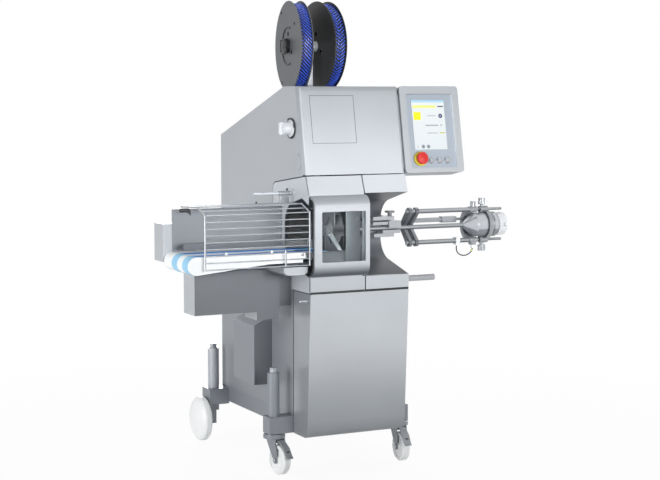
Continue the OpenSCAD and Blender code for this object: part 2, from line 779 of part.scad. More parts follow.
// Wire guard that swings up about its rod
guard_end = 10;
guard_x = [-guard_l - guard_end, -guard_end];
guard_foot = belt_z - 51;
guard_bend = guard_foot + guard_h;
crown = [60, guard_bend + 29];
tail = [235, guard_bend + 21];
weld = 0.6;
front_wires = 8;
top_wires = 5;
hub_r = pivot_r + 5;
hub_x = [-66, -17];
module bar_between(p, q, r) {
    d = q - p;
    translate(p) rotate([0, acos(d[2] / norm(d)), atan2(d[1], d[0])]) cylinder(h = norm(d), r = r);
}
module guard_hoop(x) {
    path = [
        [x, tail[0], tail[1]], [x, crown[0], crown[1]], [x, -guard_y, guard_bend], [x, -guard_y, guard_foot]
    ];
    for (i = [0 : len(path) - 2]) bar_between(path[i], path[i + 1], guard_r);
    for (p = path) translate(p) sphere(guard_r + weld);
}
module guard_wire(y, z) rod_x(guard_x[0], guard_x[1], y, z, wire_r);
function tail_z(y) = crown[1] + (tail[1] - crown[1]) * (y - crown[0]) / (tail[0] - crown[0]);
module cage_guard() in_frame() color(bright) {
    for (x = guard_x) guard_hoop(x);
    rod_z(guard_foot, guard_foot + 2.4 * guard_h / front_wires, guard_x[1] - 106, -guard_y, guard_r);
    for (i = [0 : front_wires]) guard_wire(-guard_y, guard_foot + i * guard_h / front_wires);
    guard_wire((crown[0] - guard_y) / 2, (crown[1] + guard_bend) / 2);
    for (i = [0 : top_wires]) {
        y = crown[0] + i * (tail[0] - crown[0]) / top_wires;
        guard_wire(y, tail_z(y));
    }
}
hub_y = crown[0] + 3 * (tail[0] - crown[0]) / top_wires;
hub_foot = tail_z(hub_y);
hub_top = hub_foot + wire_r + 5;
module guard_hub() in_frame() color(bright) difference() {
    union() {
        block([hub_x[0], hub_x[1]], [min(hub_y, pivot_y) - 11, max(hub_y, pivot_y) + 11], [hub_foot, hub_top]);
        block([hub_x[0] + 4, hub_x[1] - 4], [pivot_y - 5, pivot_y + 5], [hub_top - 2, pivot_z]);
        rod_x(hub_x[0], hub_x[1], pivot_y, pivot_z, hub_r);
    }
    rod_x(hub_x[0] - 1, hub_x[1] + 1, pivot_y, pivot_z, pivot_r + fit);
    rod_x(hub_x[0] - 1, hub_x[1] + 1, hub_y, hub_foot, wire_r + 0.02);
}

// Reel stand on the falling roof, with one splayed and one square axle
stand_w = 24;
lock_t = 10;
reel_out = stand_w / 2 + reel_gap;
module reel_axle() {
    rod_x(0, reel_out + reel_w + 20, 0, 0, reel_axle_r);
    rod_x(0, reel_out - clear, 0, 0, reel_axle_r + 8);
    rod_x(reel_out + reel_w + clear, reel_out + reel_w + lock_t, 0, 0, reel_axle_r + 14);
}
module at_stand() translate([stand_x, reel_y, reel_z]) children();
module left_axis() at_stand() rotate([0, 0, 180 - reel_splay]) children();
module right_axis() at_stand() children();
module reel_stand() in_frame() color(steel) {
    along_x(stand_x - stand_w / 2, stand_x + stand_w / 2) polygon([
        [reel_y - 20, roof_z(reel_y - 20)], [reel_y + 20, roof_z(reel_y + 20)],
        [reel_y + 20, reel_z + 24], [reel_y - 20, reel_z + 24]
    ]);
    along_x(stand_x - stand_w, stand_x + stand_w) polygon([
        [reel_y - 60, roof_z(reel_y - 60)], [reel_y + 60, roof_z(reel_y + 60)],
        [reel_y + 60, roof_z(reel_y + 60) + 8], [reel_y - 60, roof_z(reel_y - 60) + 8]
    ]);
    left_axis() reel_axle();
    right_axis() reel_axle();
}
module reel() difference() {
    union() {
        for (x = [reel_out, reel_out + reel_w - flange_t]) rod_x(x, x + flange_t, 0, 0, reel_r);
        rod_x(reel_out, reel_out + reel_w, 0, 0, reel_axle_r + 12);
    }
    rod_x(reel_out - 1, reel_out + reel_w + 1, 0, 0, reel_axle_r + fit);
    for (turn = [0 : 120 : 240]) rotate([turn, 0, 0])
        rod_x(reel_out - 1, reel_out + reel_w + 1, 0, reel_axle_r + 38, 10);
}
module coil() difference() {
    rod_x(reel_out + flange_t, reel_out + reel_w - flange_t, 0, 0, coil_r);
    rod_x(reel_out, reel_out + reel_w, 0, 0, reel_axle_r + 52);
}
module left_reel() in_frame() color("#a9adb1") left_axis() reel();
module left_clip_coil() in_frame() color(coil_blue) left_axis() coil();
module right_reel() in_frame() color(black) right_axis() reel();
module right_clip_coil() in_frame() color(coil_blue) right_axis() coil();

// Tool rail in the throat and the two clip tools
tool_x = 180;
rail_half = 15;
rail_y = [axis_y + 52, axis_y + 68];
module tool_guides() in_frame() color(dark_steel) {
    x = [tool_x - rail_half, tool_x + rail_half];
    block(x, rail_y, [axis_z - 95, axis_z + 95]);
    block(x, [rail_y[1] - 1, throat_y], [axis_z - 28, axis_z + 24]);
}
leg = tool_travel / 2;
module tool_plate(x) along_x(x, x + 7) polygon([
    [axis_y - 52, leg], [axis_y - 30, leg], [axis_y, leg + 42], [axis_y + 30, leg],
    [rail_y[0] - clear, leg], [rail_y[0] - clear, 92], [axis_y - 52, 92]
]);
module clip_tool(half, anvil) {
    for (x = [tool_x - half, tool_x + half - 7]) tool_plate(x);
    block([tool_x - half, tool_x + half], [axis_y + 24, rail_y[0] - clear], [leg + 46, 92]);
    block([tool_x - anvil, tool_x + anvil], [axis_y - 20, axis_y + 25], [leg + 44, 96]);
}
module upper_clip_tool() in_frame() color(bright) translate([0, 0, axis_z]) clip_tool(30, 12);
module lower_clip_tool() in_frame() color(bright) translate([0, 0, axis_z]) mirror([0, 0, 1]) clip_tool(20, 9);

// Clip door with its bulged hood, on sleeves round the hinge rod
hood_gap = 6;
hood_rim = 14;
win_x = (door_w - win_w) / 2 + 6;
win_z = (lip_low_z + lip_up_z - win_h) / 2;
sleeve_r = 6.5;
sleeve_h = 30;
module hood_outline(w) {
    y0 = w - hood_d;
    r = hood_r - min(w, hood_r - 10);
    z = [lip_low_z + hood_gap + w, lip_up_z - hood_gap - w];
    y1 = lip_y + door_t + (w > 0 ? 10 : 0);
    intersection() {
        union() {
            translate([y0, z[0] + r]) square([y1 - y0, z[1] - z[0] - 2 * r]);
            translate([y0 + r, z[0]]) square([y1 - y0, z[1] - z[0]]);
            for (v = [z[0] + r, z[1] - r]) translate([y0 + r, v]) circle(r);
        }
        translate([mouth_y, deck_z]) square([y1 - mouth_y, head_z - deck_z]);
    }
}
module door_sleeve(z) {
    rod_z(z, z + sleeve_h, door_hinge[0], door_hinge[1], sleeve_r);
    block([door_w - door_t, door_w], [-12, door_hinge[1] + 2], [z, z + sleeve_h]);
}
module clip_door() in_frame() color(steel) difference() {
    union() {
        along_x(0, door_w) difference() {
            hood_outline(0);
            hood_outline(door_t);
        }
        along_x(0, door_w) polygon([
            [0, deck_z + 2], [door_t, deck_z + 2], [door_t, lip_low_z + hood_gap + door_t],
            [0, lip_low_z + hood_gap + door_t]
        ]);
        along_x(0, door_w) polygon([
            [lip_y, lip_up_z - hood_gap - door_t], [lip_y, lip_up_z], [head_y, frame_top - 1],
            [head_y + door_t, frame_top - 1], [lip_y + door_t, lip_up_z],
            [lip_y + door_t, lip_up_z - hood_gap - door_t]
        ]);
        intersection() {
            along_x(door_w - door_t, door_w) hood_outline(0);
            block([0, door_w], [-hood_d, -door_t], [lip_low_z, lip_up_z]);
        }
        intersection() {
            along_x(0, door_t) difference() {
                hood_outline(0);
                hood_outline(hood_rim);
            }
            block([0, door_w], [-hood_d, 0], [lip_low_z, lip_up_z]);
        }
        for (z = [axis_z - 110, axis_z + 60]) door_sleeve(z);
    }
    along_y(-hood_d - 1, door_t - hood_d + 1) round_rect([win_x, win_x + win_w], [win_z, win_z + win_h], 6);
    rod_z(lip_low_z, lip_up_z, door_hinge[0], door_hinge[1], door_rod_r + fit);
}
module door_window() in_frame() color(glass, 0.4) along_y(door_t - hood_d, door_t + pane_t - hood_d)
    round_rect([win_x - 8, win_x + win_w + 3], [win_z - 8, win_z + win_h + 8], 10);

// Pan-shaped cabinet door on sleeves round its hinge rod
cab_top = deck_z - seam;
latch_y = 20;
latch_z = cab_top - latch_drop;
module cab_section(w) {
    r = cab_r - min(w, cab_r - 2);
    zc = cab_z + cab_r;
    c = [(cab_top - zc) * tan(cab_lean) + cab_r / cos(cab_lean), zc];
    back = cab_d + (w > 0 ? 1 : 0);
    polygon([
        [w * (1 / cos(cab_lean) + tan(cab_lean)), cab_top - w],
        c - r * [cos(cab_lean), sin(cab_lean)],
        c - [0, r], [back, cab_z + w], [back, cab_top - w]
    ]);
    translate(c) circle(r);
}
module cabinet_sleeve(z) {
    rod_z(z, z + 40, cab_hinge[0], cab_hinge[1], cab_rod_r + 3);
    block([cab_hinge[0], body_w - 1], [cab_hinge[1] - 6, cab_hinge[1] + 6], [z, z + 40]);
}
module cabinet_door() in_frame() color(steel) difference() {
    union() {
        difference() {
            along_x(0, body_w) cab_section(0);
            along_x(wall, body_w - wall) cab_section(wall);
        }
        for (z = [base_z + 80, cab_lug_z - 120]) cabinet_sleeve(z);
        rod_x(1, 22, latch_y, latch_z, latch_r + 5);
    }
    for (z = [base_z + 80, cab_lug_z - 120])
        rod_z(z - 1, z + 41, cab_hinge[0], cab_hinge[1], cab_rod_r + fit);
    rod_x(-1, 23, latch_y, latch_z, latch_r + fit);
}
module cabinet_latch() in_frame() color(bright) {
    rod_x(-latch_l, 38, latch_y, latch_z, latch_r);
    rod_x(38, 46, latch_y, latch_z, latch_r + 8);
    translate([-latch_l, latch_y, latch_z]) sphere(latch_r + 0.8);
}

// Braked swivel casters
head_ring_r = 46;
ring_z = caster_r * 2 + 23;
pin_r = 6;
leg_t = 5;
leg_x = caster_w / 2 + 3;
pedal_y = -18;
pedal_z = ring_z - 13;
module left_swivel() translate([-swivel_x, swivel_y, 0]) rotate([0, 0, left_turn]) children();
module right_swivel() translate([body_w + swivel_x - right_near, swivel_y, 0])
    rotate([0, 0, right_turn]) children();
module fork() {
    rod_z(ring_z, ring_z + 14, 0, 0, head_ring_r);
    rod_z(ring_z + 14, bracket_z - clear, 0, 0, 16);
    rod_z(bracket_z - 1, bracket_z + king_l, 0, 0, king_r);
    for (x = [-leg_x - leg_t, leg_x]) along_x(x, x + leg_t) {
        polygon([
            [28, ring_z + 1], [-44, ring_z + 1], [-trail - 15, caster_r + 4], [-trail - 8, caster_r - 13],
            [-trail + 8, caster_r - 13], [-trail + 15, caster_r + 4]
        ]);
        translate([-trail, caster_r]) circle(15);
    }
    rod_x(-leg_x - leg_t - 5, leg_x + leg_t + 5, -trail, caster_r, pin_r);
    rod_x(-leg_x - leg_t, leg_x + leg_t, pedal_y, pedal_z, 4);
}
module caster_wheel() translate([0, -trail, caster_r]) rotate([0, 90, 0]) rotate_extrude() polygon([
    [pin_r + fit, -leg_x + clear], [16, -leg_x + clear], [18, 3 - caster_w / 2], [caster_r - 16, 6 - caster_w / 2],
    [caster_r - 12, -caster_w / 2], [caster_r - 5, -caster_w / 2], [caster_r, 5 - caster_w / 2],
    [caster_r, caster_w / 2 - 5], [caster_r - 5, caster_w / 2], [caster_r - 12, caster_w / 2],
    [caster_r - 16, caster_w / 2 - 6], [18, caster_w / 2 - 3], [16, leg_x - clear], [pin_r + fit, leg_x - clear]
]);
module pedal() difference() {
    union() {
        rod_x(1 - leg_x, leg_x - 1, pedal_y, pedal_z, 8);
        along_x(-15, 15) polygon([
            [pedal_y, pedal_z + 3], [-trail - 12, pedal_z + 5], [-trail - 48, caster_r + 52],
            [-trail - 68, caster_r + 22], [-trail - 80, caster_r + 16], [-trail - 82, caster_r + 20],
            [-trail - 73, caster_r + 26], [-trail - 52, caster_r + 57], [-trail - 12, pedal_z + 10],
            [pedal_y, pedal_z + 8]
        ]);
    }
    rod_x(-leg_x, leg_x, pedal_y, pedal_z, 4 + fit);
}
module left_caster_fork() in_frame() color(bright) left_swivel() fork();
module left_caster_wheel() in_frame() color(white) left_swivel() caster_wheel();
module left_caster_brake() in_frame() color(steel) left_swivel() pedal();
module right_caster_fork() in_frame() color(bright) right_swivel() fork();
module right_caster_wheel() in_frame() color(white) right_swivel() caster_wheel();
module right_caster_brake() in_frame() color(steel) right_swivel() pedal();

// Large plain rear wheels with a domed outer face over the axle's end
axle_in = 14;
module rear_wheel() translate([-rear_reach - rear_gap - rear_w, rear_y, rear_r]) rotate([0, 90, 0])
    rotate_extrude() polygon(concat(
        [for (i = [0 : 8]) [rear_r * sin(90 * i / 8), 0.6 * rear_w * (1 - cos(90 * i / 8))]],
        [
            [rear_r, rear_w - 6], [rear_r - 6, rear_w], [rear_r - 20, rear_w], [rear_r - 26, rear_w - 8],
            [32, rear_w - 8], [28, rear_w], [rear_axle_r + fit, rear_w], [rear_axle_r + fit, axle_in], [0, axle_in]
        ]
    ));
module left_rear_wheel() in_frame() color(white) rear_wheel();
module right_rear_wheel() in_frame() color(white) translate([body_w, 0, 0]) mirror([1, 0, 0]) rear_wheel();

// Infeed along the product axis
nut_thread_r = 42;
horn_x0 = door_w - 3;
module horn_axis(d = 0) translate([body_w + d, axis_y, axis_z]) rotate([0, 90, 0]) children();
module horn_tube() in_frame() color(bright) horn_axis() rotate_extrude() polygon([
    [horn_bore, horn_x0 - body_w], [horn_r, horn_x0 - body_w], [horn_r, cone_at], [horn_bore, cone_at]
]);
module stuffing_horn() in_frame() color(bright) horn_axis() rotate_extrude() polygon([
    [horn_bore, cone_at], [horn_r, cone_at], [drum_r - 4, cone_at + cone_l],
    [drum_r, cone_at + cone_l + 4], [drum_r, clamp_at - 2], [seat_r, clamp_at - 2], [seat_r, collar_at],
    [drum_r + 2, collar_at], [drum_r + 2, collar_at + collar_w], [nut_thread_r, collar_at + collar_w],
    [nut_thread_r, nut_at + nut_l - 9], [inlet_r, nut_at + nut_l - 9], [inlet_r, cone_at + cone_l + 4],
    [horn_bore, cone_at + 10]
]);
module union_nut() in_frame() color(bright) horn_axis(nut_at) difference() {
    cylinder(h = nut_l, r = nut_r);
    translate([0, 0, -1]) cylinder(h = nut_l - 7, r = nut_thread_r + fit);
    translate([0, 0, -1]) cylinder(h = nut_l + 2, r = inlet_r + 1);
    for (turn = [0 : 90 : 270]) rotate(turn) translate([nut_thread_r - 1, -7, nut_l - 19]) cube([20, 14, nut_l]);
}

rods_z = [axis_z - rod_off, axis_z + rod_off];
rod_main = end_at + end_w;
rod_tip = clamp_at + clamp_w + 72;
module guide_rods() in_frame() color(bright) for (z = rods_z) {
    rod_x(body_w + yoke_at - 8, body_w + rod_main, axis_y, z, rod_r);
    rod_x(body_w + rod_main - 1, body_w + rod_tip, axis_y, z, rod_end_r);
}

// Rod brackets open to the front: two chevrons on an arm from the throat's back wall, and a half ring
yoke_in = rod_off - 9;
yoke_out = rod_off + 11;
boss_r = 17;
end_boss_r = 13;
module half_ring(x, t) {
    difference() {
        rod_x(x, x + t, axis_y, axis_z, yoke_out);
        rod_x(x - 1, x + t + 1, axis_y, axis_z, yoke_in);
        block([x - 1, x + t + 1], [axis_y - yoke_out - 1, axis_y], [axis_z - yoke_out - 1, axis_z + yoke_out + 1]);
    }
    for (z = rods_z) rod_x(x, x + t, axis_y, z, end_boss_r);
}
module chevron(x, t) along_x(x, x + t) for (z = rods_z)
    strap([axis_y, z], boss_r, [axis_y + rod_off - 4, axis_z], boss_r - 4);
module rod_bores(x0, x1) for (z = rods_z) rod_x(x0, x1, axis_y, z, rod_r + fit);
module rod_brackets() in_frame() color(dark_steel) {
    yokes = [body_w + yoke_at, body_w + yoke_at + yoke_pitch];
    arm_y = axis_y + yoke_in + 2;
    difference() {
        union() {
            for (x = yokes) chevron(x, yoke_t);
            block([body_w - 34, yokes[1] + 1], [arm_y, arm_y + 14], [axis_z - 18, axis_z + 18]);
            block([body_w - 34, body_w - 6], [arm_y, throat_y], [axis_z - 18, axis_z + 18]);
        }
        rod_bores(yokes[0] - 1, yokes[1] + yoke_t + 1);
    }
    difference() {
        union() {
            half_ring(body_w + end_at, end_w);
            block([body_w + end_at + 6, body_w + end_at + 30], [axis_y - 12, axis_y + 12],
                [rods_z[0] - boss_r - 4, rods_z[0]]);
        }
        rod_bores(body_w + end_at - 1, body_w + end_at + end_w + 1);
    }
    rod_z(rods_z[1] + end_boss_r - 2, rods_z[1] + boss_r + 18, body_w + end_at + 19, axis_y, 12);
}

// Ring that clamps the horn on the rods' slim ends
clamp_out = seat_r + 15;
clamp_boss_r = 14;
screw_at = clamp_at - 6;
module clamp_ring() difference() {
    union() {
        rod_x(body_w + clamp_at, body_w + clamp_at + clamp_w, axis_y, axis_z, clamp_out);
        for (z = rods_z) rod_x(body_w + clamp_at - 20, body_w + clamp_at + clamp_w, axis_y, z, clamp_boss_r);
    }
    rod_x(body_w + clamp_at - 21, body_w + clamp_at + clamp_w + 1, axis_y, axis_z, seat_r + fit);
    rod_x(body_w + clamp_at - 21, body_w + clamp_at, axis_y, axis_z, drum_r + 1);
    for (z = rods_z) rod_x(body_w + clamp_at - 21, body_w + clamp_at + clamp_w + 1, axis_y, z, rod_end_r + fit);
}
module clamp_screw(stem, head_r, head_h) {
    cylinder(h = stem, r = head_r - 8);
    translate([0, 0, stem - 1]) cylinder(h = head_h, r = head_r);
}
module horn_clamp() in_frame() color(dark_steel) {
    clamp_ring();
    for (side = [-1, 1])
        translate([body_w + screw_at, axis_y, axis_z + side * (rod_off + clamp_boss_r - 2)])
            rotate([side > 0 ? 0 : 180, 0, 0]) clamp_screw(11, 17, 26);
}

// Casing brake round the horn, on a riser from the throat's back wall
brake_x = body_w - 104;
thumb_x = body_w - 16;
jaw_up = [4, 32];
jaw_low = [-20, -6];
clamp_bar = [16, 29];
bar_up = [36, 51];
bar_low = [-35, -20];
brake_y = [axis_y - 18, axis_y + 18];
module casing_brake() in_frame() color(dark_steel) difference() {
    union() {
        block([brake_x, brake_x + 35], [brake_y[1] + 24, throat_y], axis_z * [1, 1] + [bar_low[0], clamp_bar[0] + 8]);
        block([brake_x, brake_x + 35], [brake_y[1] + 24, brake_y[1] + 44], axis_z * [1, 1] + [bar_low[0], bar_up[1]]);
        block([brake_x, body_w + 6], [brake_y[1] + 24, brake_y[1] + 40], axis_z * [1, 1] + [bar_low[0], bar_up[1]]);
        block([brake_x, body_w - 4], [brake_y[0], brake_y[1] + 25], axis_z * [1, 1] + bar_up);
        block([brake_x, body_w - 24], [brake_y[0], brake_y[1] + 25], axis_z * [1, 1] + clamp_bar);
        block([brake_x + 5, body_w - 4], [brake_y[0], brake_y[1] + 25], axis_z * [1, 1] + bar_low);
        block([body_w - 32, body_w + 25], [brake_y[0] - 8, brake_y[1] + 8], axis_z * [1, 1] + jaw_up);
        block([body_w - 62, body_w + 22], [brake_y[0] - 8, brake_y[1] + 8], axis_z * [1, 1] + jaw_low);
    }
    rod_x(brake_x, body_w + 40, axis_y, axis_z, horn_r + 3.5);
    rod_z(axis_z + bar_up[0] - 20, axis_z + bar_up[1] + 1, thumb_x, axis_y, 5 + fit);
}
module thumb_knob() in_frame() color(bright) translate([thumb_x, axis_y, axis_z + bar_up[1]]) {
    translate([0, 0, -30]) cylinder(h = 40, r = 5);
    translate([0, 0, clear]) cylinder(h = 15, r = 9);
    translate([0, 0, 15]) cylinder(h = 8, r = 20);
}

// Brake cylinder between the second rod bracket and the end bracket
cyl_y = axis_y + rod_off - 6;
cyl_z = axis_z + 22;
module brake_cylinder() in_frame() color(steel) {
    x0 = body_w + yoke_at + yoke_pitch + yoke_t;
    rod_x(x0, x0 + 152, cyl_y, cyl_z, 10);
    block([x0 + 151, x0 + 223], [cyl_y - 14, cyl_y + 14], [cyl_z - 13, cyl_z + 13]);
    rod_x(x0 + 222, body_w + end_at, cyl_y, cyl_z, 6);
}

// Casing sensor: a clip on the lower rod and a barrel under the end bracket
clip_x = body_w + 314;
barrel_x = body_w + end_at + 18;
barrel_top = rods_z[0] - boss_r - 4;
module casing_sensor() in_frame() color(white) {
    difference() {
        block([clip_x - 10, clip_x + 10], [axis_y - 14, axis_y + 14], [rods_z[0] - 16, rods_z[0] + 14]);
        rod_x(clip_x - 11, clip_x + 11, axis_y, rods_z[0], rod_r + fit);
    }
    rod_z(rods_z[0] - 20.5, rods_z[0] - 15, clip_x, axis_y, 5);
    rod_z(barrel_top - 14, barrel_top, barrel_x, axis_y, 8);
}

// Sensor cable: a hanging loop between the clip and the barrel
cable_r = 2.5;
cable_sides = 8;
cable_y = 138;
cable = [
    [768, 922], [767, 912], [768, 901], [772, 892], [780, 884], [790, 879], [801, 876],
    [812, 876], [823, 879], [834, 884], [842, 891], [847, 899], [848, 907.5]
];
function cable_dir(i) = cable[min(i + 1, len(cable) - 1)] - cable[max(i - 1, 0)];
function ring(i) = let (d = i == 0 || i == len(cable) - 1 ? [0, i == 0 ? -1 : 1] : cable_dir(i) / norm(cable_dir(i)))
    [for (k = [0 : cable_sides - 1]) let (a = 360 * k / cable_sides)
        [cable[i][0] - d[1] * cable_r * cos(a), cable_y + cable_r * sin(a), cable[i][1] + d[0] * cable_r * cos(a)]];
module sensor_cable() in_frame() color(black) {
    n = cable_sides;
    last = len(cable) - 1;
    polyhedron(
        points = [for (i = [0 : last]) each ring(i)],
        faces = concat(
            [[for (k = [0 : n - 1]) k]],
            [[for (k = [n - 1 : -1 : 0]) last * n + k]],
            [for (i = [0 : last - 1], k = [0 : n - 1])
                [i * n + k, (i + 1) * n + k, (i + 1) * n + (k + 1) % n, i * n + (k + 1) % n]]
        )
    );
}

// Round bar on the right end of the clip frame's lower band
module coupling_bar() in_frame() color(bright) {
    bar_z = lip_low_z - 30;
    rod_x(body_w, body_w + bar_l, 80, bar_z, bar_r);
    rod_x(body_w, body_w + 6, 80, bar_z, bar_r + 9);
}

// Drive in the cabinet: motor with gearbox and crank disc
crank_pin_r = 10;
module drive_motor() in_frame() color(dark_steel) difference() {
    union() {
        block([gear_x - 80, gear_x + 80], [gear_y, gear_y + 90], [floor_z, gear_z + 80]);
        rod_y(gear_y + 89, gear_y + 90 + motor_l, gear_x, gear_z, motor_r);
        rod_y(gear_y + 90 + motor_l, gear_y + 108 + motor_l, gear_x, gear_z, motor_r - 8);
        block([gear_x - 45, gear_x + 45], [gear_y + 120, gear_y + 60 + motor_l], [floor_z, gear_z - motor_r + 12]);
    }
    rod_y(gear_y - 1, gear_y + 30, gear_x, gear_z, 15 + fit);
}
module crank_disc() in_frame() color(bright) {
    rod_y(gear_y - clear - 14, gear_y - clear, gear_x, gear_z, crank_r);
    rod_y(gear_y - 1, gear_y + 28, gear_x, gear_z, 15);
    rod_y(gear_y - 34, gear_y - 14, gear_x, gear_z + crank_r - 20, crank_pin_r);
}
machine_frame();
chassis_rails();
left_side_panel();
right_side_panel();
rear_cover();
head_cover();
clip_frame();
side_cover();
hmi_housing();
hmi_panel();
hmi_screen();
stop_collar();
conveyor_bed();
conveyor_belts();
conveyor_drive_box();
conveyor_motor_box();
guard_back_plate();
reel_stand();
casing_brake();
guide_rods();
rod_brackets();
horn_tube();
stuffing_horn();
horn_clamp();
brake_cylinder();
casing_sensor();
sensor_cable();
coupling_bar();
drive_motor();
tool_guides();
clip_door();
door_window();
cabinet_door();
cabinet_latch();
cage_guard();
guard_hub();
nose_roller();
drive_roller();
left_reel();
left_clip_coil();
right_reel();
right_clip_coil();
stop_button();
start_button();
halt_button();
reset_button();
main_switch();
left_caster_fork();
left_caster_wheel();
left_caster_brake();
right_caster_fork();
right_caster_wheel();
right_caster_brake();
left_rear_wheel();
right_rear_wheel();
upper_clip_tool();
lower_clip_tool();
union_nut();
thumb_knob();
crank_disc();
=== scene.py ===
import math
import bpy
from mathutils import Matrix, Vector


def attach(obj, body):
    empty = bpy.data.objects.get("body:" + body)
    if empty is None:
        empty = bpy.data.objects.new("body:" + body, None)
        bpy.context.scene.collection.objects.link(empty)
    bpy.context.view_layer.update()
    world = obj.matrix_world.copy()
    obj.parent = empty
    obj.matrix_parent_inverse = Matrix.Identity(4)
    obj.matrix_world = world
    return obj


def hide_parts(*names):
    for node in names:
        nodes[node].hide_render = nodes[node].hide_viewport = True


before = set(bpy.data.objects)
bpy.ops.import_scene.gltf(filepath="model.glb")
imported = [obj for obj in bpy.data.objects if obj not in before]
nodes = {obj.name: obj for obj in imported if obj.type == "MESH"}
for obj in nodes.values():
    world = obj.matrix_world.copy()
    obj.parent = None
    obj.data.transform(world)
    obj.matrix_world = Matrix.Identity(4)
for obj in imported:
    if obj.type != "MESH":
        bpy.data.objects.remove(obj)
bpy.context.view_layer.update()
print("frame loaded:", len(nodes), "solids")

mm = 0.001
quarter = math.pi / 2
edgeAngle = math.radians(32)  # sharper edges are rounded, flatter ones are shaded smooth
datum = {"x": 233.5, "y": 484}  # the body's left front corner, mm from the middle of the outline
headPlane = {"lean": math.radians(10.6), "y": 36, "z": 1246}


def spot(x, y, z):  # drawing millimetres to metres in the shared frame
    return Vector(((x - datum["x"]) * mm, (y - datum["y"]) * mm, z * mm))


def headSpot(x, depth, up):  # a point in the head's leaning plane
    c, s = math.cos(headPlane["lean"]), math.sin(headPlane["lean"])
    return spot(x, headPlane["y"] + depth * c + up * s, headPlane["z"] - depth * s + up * c)


# shader helpers


class Value:
    def __init__(self, tree, socket):
        self.tree = tree
        self.socket = socket

    def sum(self, operation, first, second):
        node = self.tree.nodes.new("ShaderNodeMath")
        node.operation = operation
        for slot, item in zip(node.inputs, (first, second)):
            if isinstance(item, Value):
                self.tree.links.new(item.socket, slot)
            else:
                slot.default_value = item
        return Value(self.tree, node.outputs[0])

    def __add__(self, other):
        return self.sum("ADD", self, other)

    __radd__ = __add__

    def __sub__(self, other):
        return self.sum("SUBTRACT", self, other)

    def __mul__(self, other):
        return self.sum("MULTIPLY", self, other)

    def __gt__(self, other):
        return self.sum("GREATER_THAN", self, other)

    def __lt__(self, other):
        return self.sum("LESS_THAN", self, other)

    def __or__(self, other):
        return self.sum("MAXIMUM", self, other)


class Finish:
    def __init__(self, name, tree=None):
        if tree is None:
            self.material = bpy.data.materials.new(name)
            self.material.use_nodes = True
            tree = self.material.node_tree
        self.tree = tree
        self.shader = tree.nodes.get("Principled BSDF")

    def node(self, kind, settings=None, inputs=None, out=0):
        node = self.tree.nodes.new(kind)
        for key, value in (settings or {}).items():
            if key == "stops":
                ramp = node.color_ramp.elements
                while len(ramp) < len(value):
                    ramp.new(0.5)
                for stop, (place, colour) in zip(ramp, value):
                    stop.position = place
                    stop.color = colour
            else:
                setattr(node, key, value)
        for key, value in (inputs or {}).items():
            self.join(node.inputs[key], value)
        return Value(self.tree, node.outputs[out])

    def join(self, socket, value):
        if isinstance(value, Value):
            self.tree.links.new(value.socket, socket)
        else:
            socket.default_value = value

    def feed(self, **sockets):  # BaseColor feeds the socket Base Color
        for key, value in sockets.items():
            words = "".join(" " + c if c.isupper() else c for c in key).strip()
            self.join(self.shader.inputs[words], value)

    def mix(self, factor, first, second, blend="MIX"):
        settings = {"data_type": "RGBA", "blend_type": blend}
        return self.node("ShaderNodeMix", settings, {0: factor, 6: first, 7: second}, 2)

    def place(self):
        return self.node("ShaderNodeTexCoord", out="Object")

    def axes(self, vector):
        parts = self.node("ShaderNodeSeparateXYZ", None, {0: vector}).socket.node.outputs
        return [Value(self.tree, part) for part in parts]

    def noise(self, vector, scale, detail=2.0):
        return self.node("ShaderNodeTexNoise", None, {"Vector": vector, "Scale": scale, "Detail": detail})

    def stretched(self, vector, scale):
        return self.node("ShaderNodeMapping", None, {"Vector": vector, "Scale": scale})

    def bump(self, height, strength, distance):
        inputs = {"Height": height, "Strength": strength, "Distance": distance}
        return self.node("ShaderNodeBump", None, inputs)


def tint(code):  # a hex colour as linear light
    channels = [int(code[i:i + 2], 16) / 255 for i in (1, 3, 5)]
    return [c / 12.92 if c <= 0.04045 else ((c + 0.055) / 1.055) ** 2.4 for c in channels] + [1]


# camera and studio

cameraView = {
    "place": (-2.9581, -6.1242, 1.5618), "tilt": 84.76, "turn": -26.5,
    "lens": 85.145, "sensor": 36, "reach": 100,
}
studio = {
    "floorSize": 60, "floorTone": 0.95, "floorRough": 0.9, "floorGloss": 0.1,
    "fadeFrom": 0.5, "fadeTo": 3.2, "floorGlow": 0.93,
    "ambient": 0.16, "skyTone": (0.94, 0.97, 1, 1), "white": (1, 1, 1, 1),
}
lamps = {
    "front": {"place": (0.25, -4.0, 1.5), "aim": (0.2, -0.4, 1.3),
              "size": (2.4, 0.8), "spread": 52, "power": 16},
    "left": {"place": (-4.2, -0.9, 1.2), "aim": (-0.3, 0.0, 1.0),
             "size": (2.2, 1.8), "spread": 85, "power": 29},
    "right": {"place": (4.4, 0.5, 1.5), "aim": (0.2, 0.2, 1.0),
              "size": (2.2, 1.8), "spread": 85, "power": 21},
    "back": {"place": (1.5, 4.4, 1.4), "aim": (0.1, 0.4, 1.0),
             "size": (2.0, 1.8), "spread": 85, "power": 26},
    "top": {"place": (0, 0.6, 4.8), "aim": (0, 0.3, 1.0),
            "size": (2.6, 2.6), "spread": 110, "power": 20},
}


def clearSelection():
    if bpy.context.mode != "OBJECT":
        bpy.ops.object.mode_set(mode="OBJECT")
    bpy.ops.object.select_all(action="DESELECT")


def addCamera():
    data = bpy.data.cameras.new("photoCamera")
    data.lens = cameraView["lens"]
    data.sensor_width = cameraView["sensor"]
    data.sensor_fit = "HORIZONTAL"
    data.clip_end = cameraView["reach"]
    camera = bpy.data.objects.new("photoCamera", data)
    camera.location = cameraView["place"]
    camera.rotation_euler = (math.radians(cameraView["tilt"]), 0, math.radians(cameraView["turn"]))
    bpy.context.scene.collection.objects.link(camera)
    bpy.context.scene.camera = camera


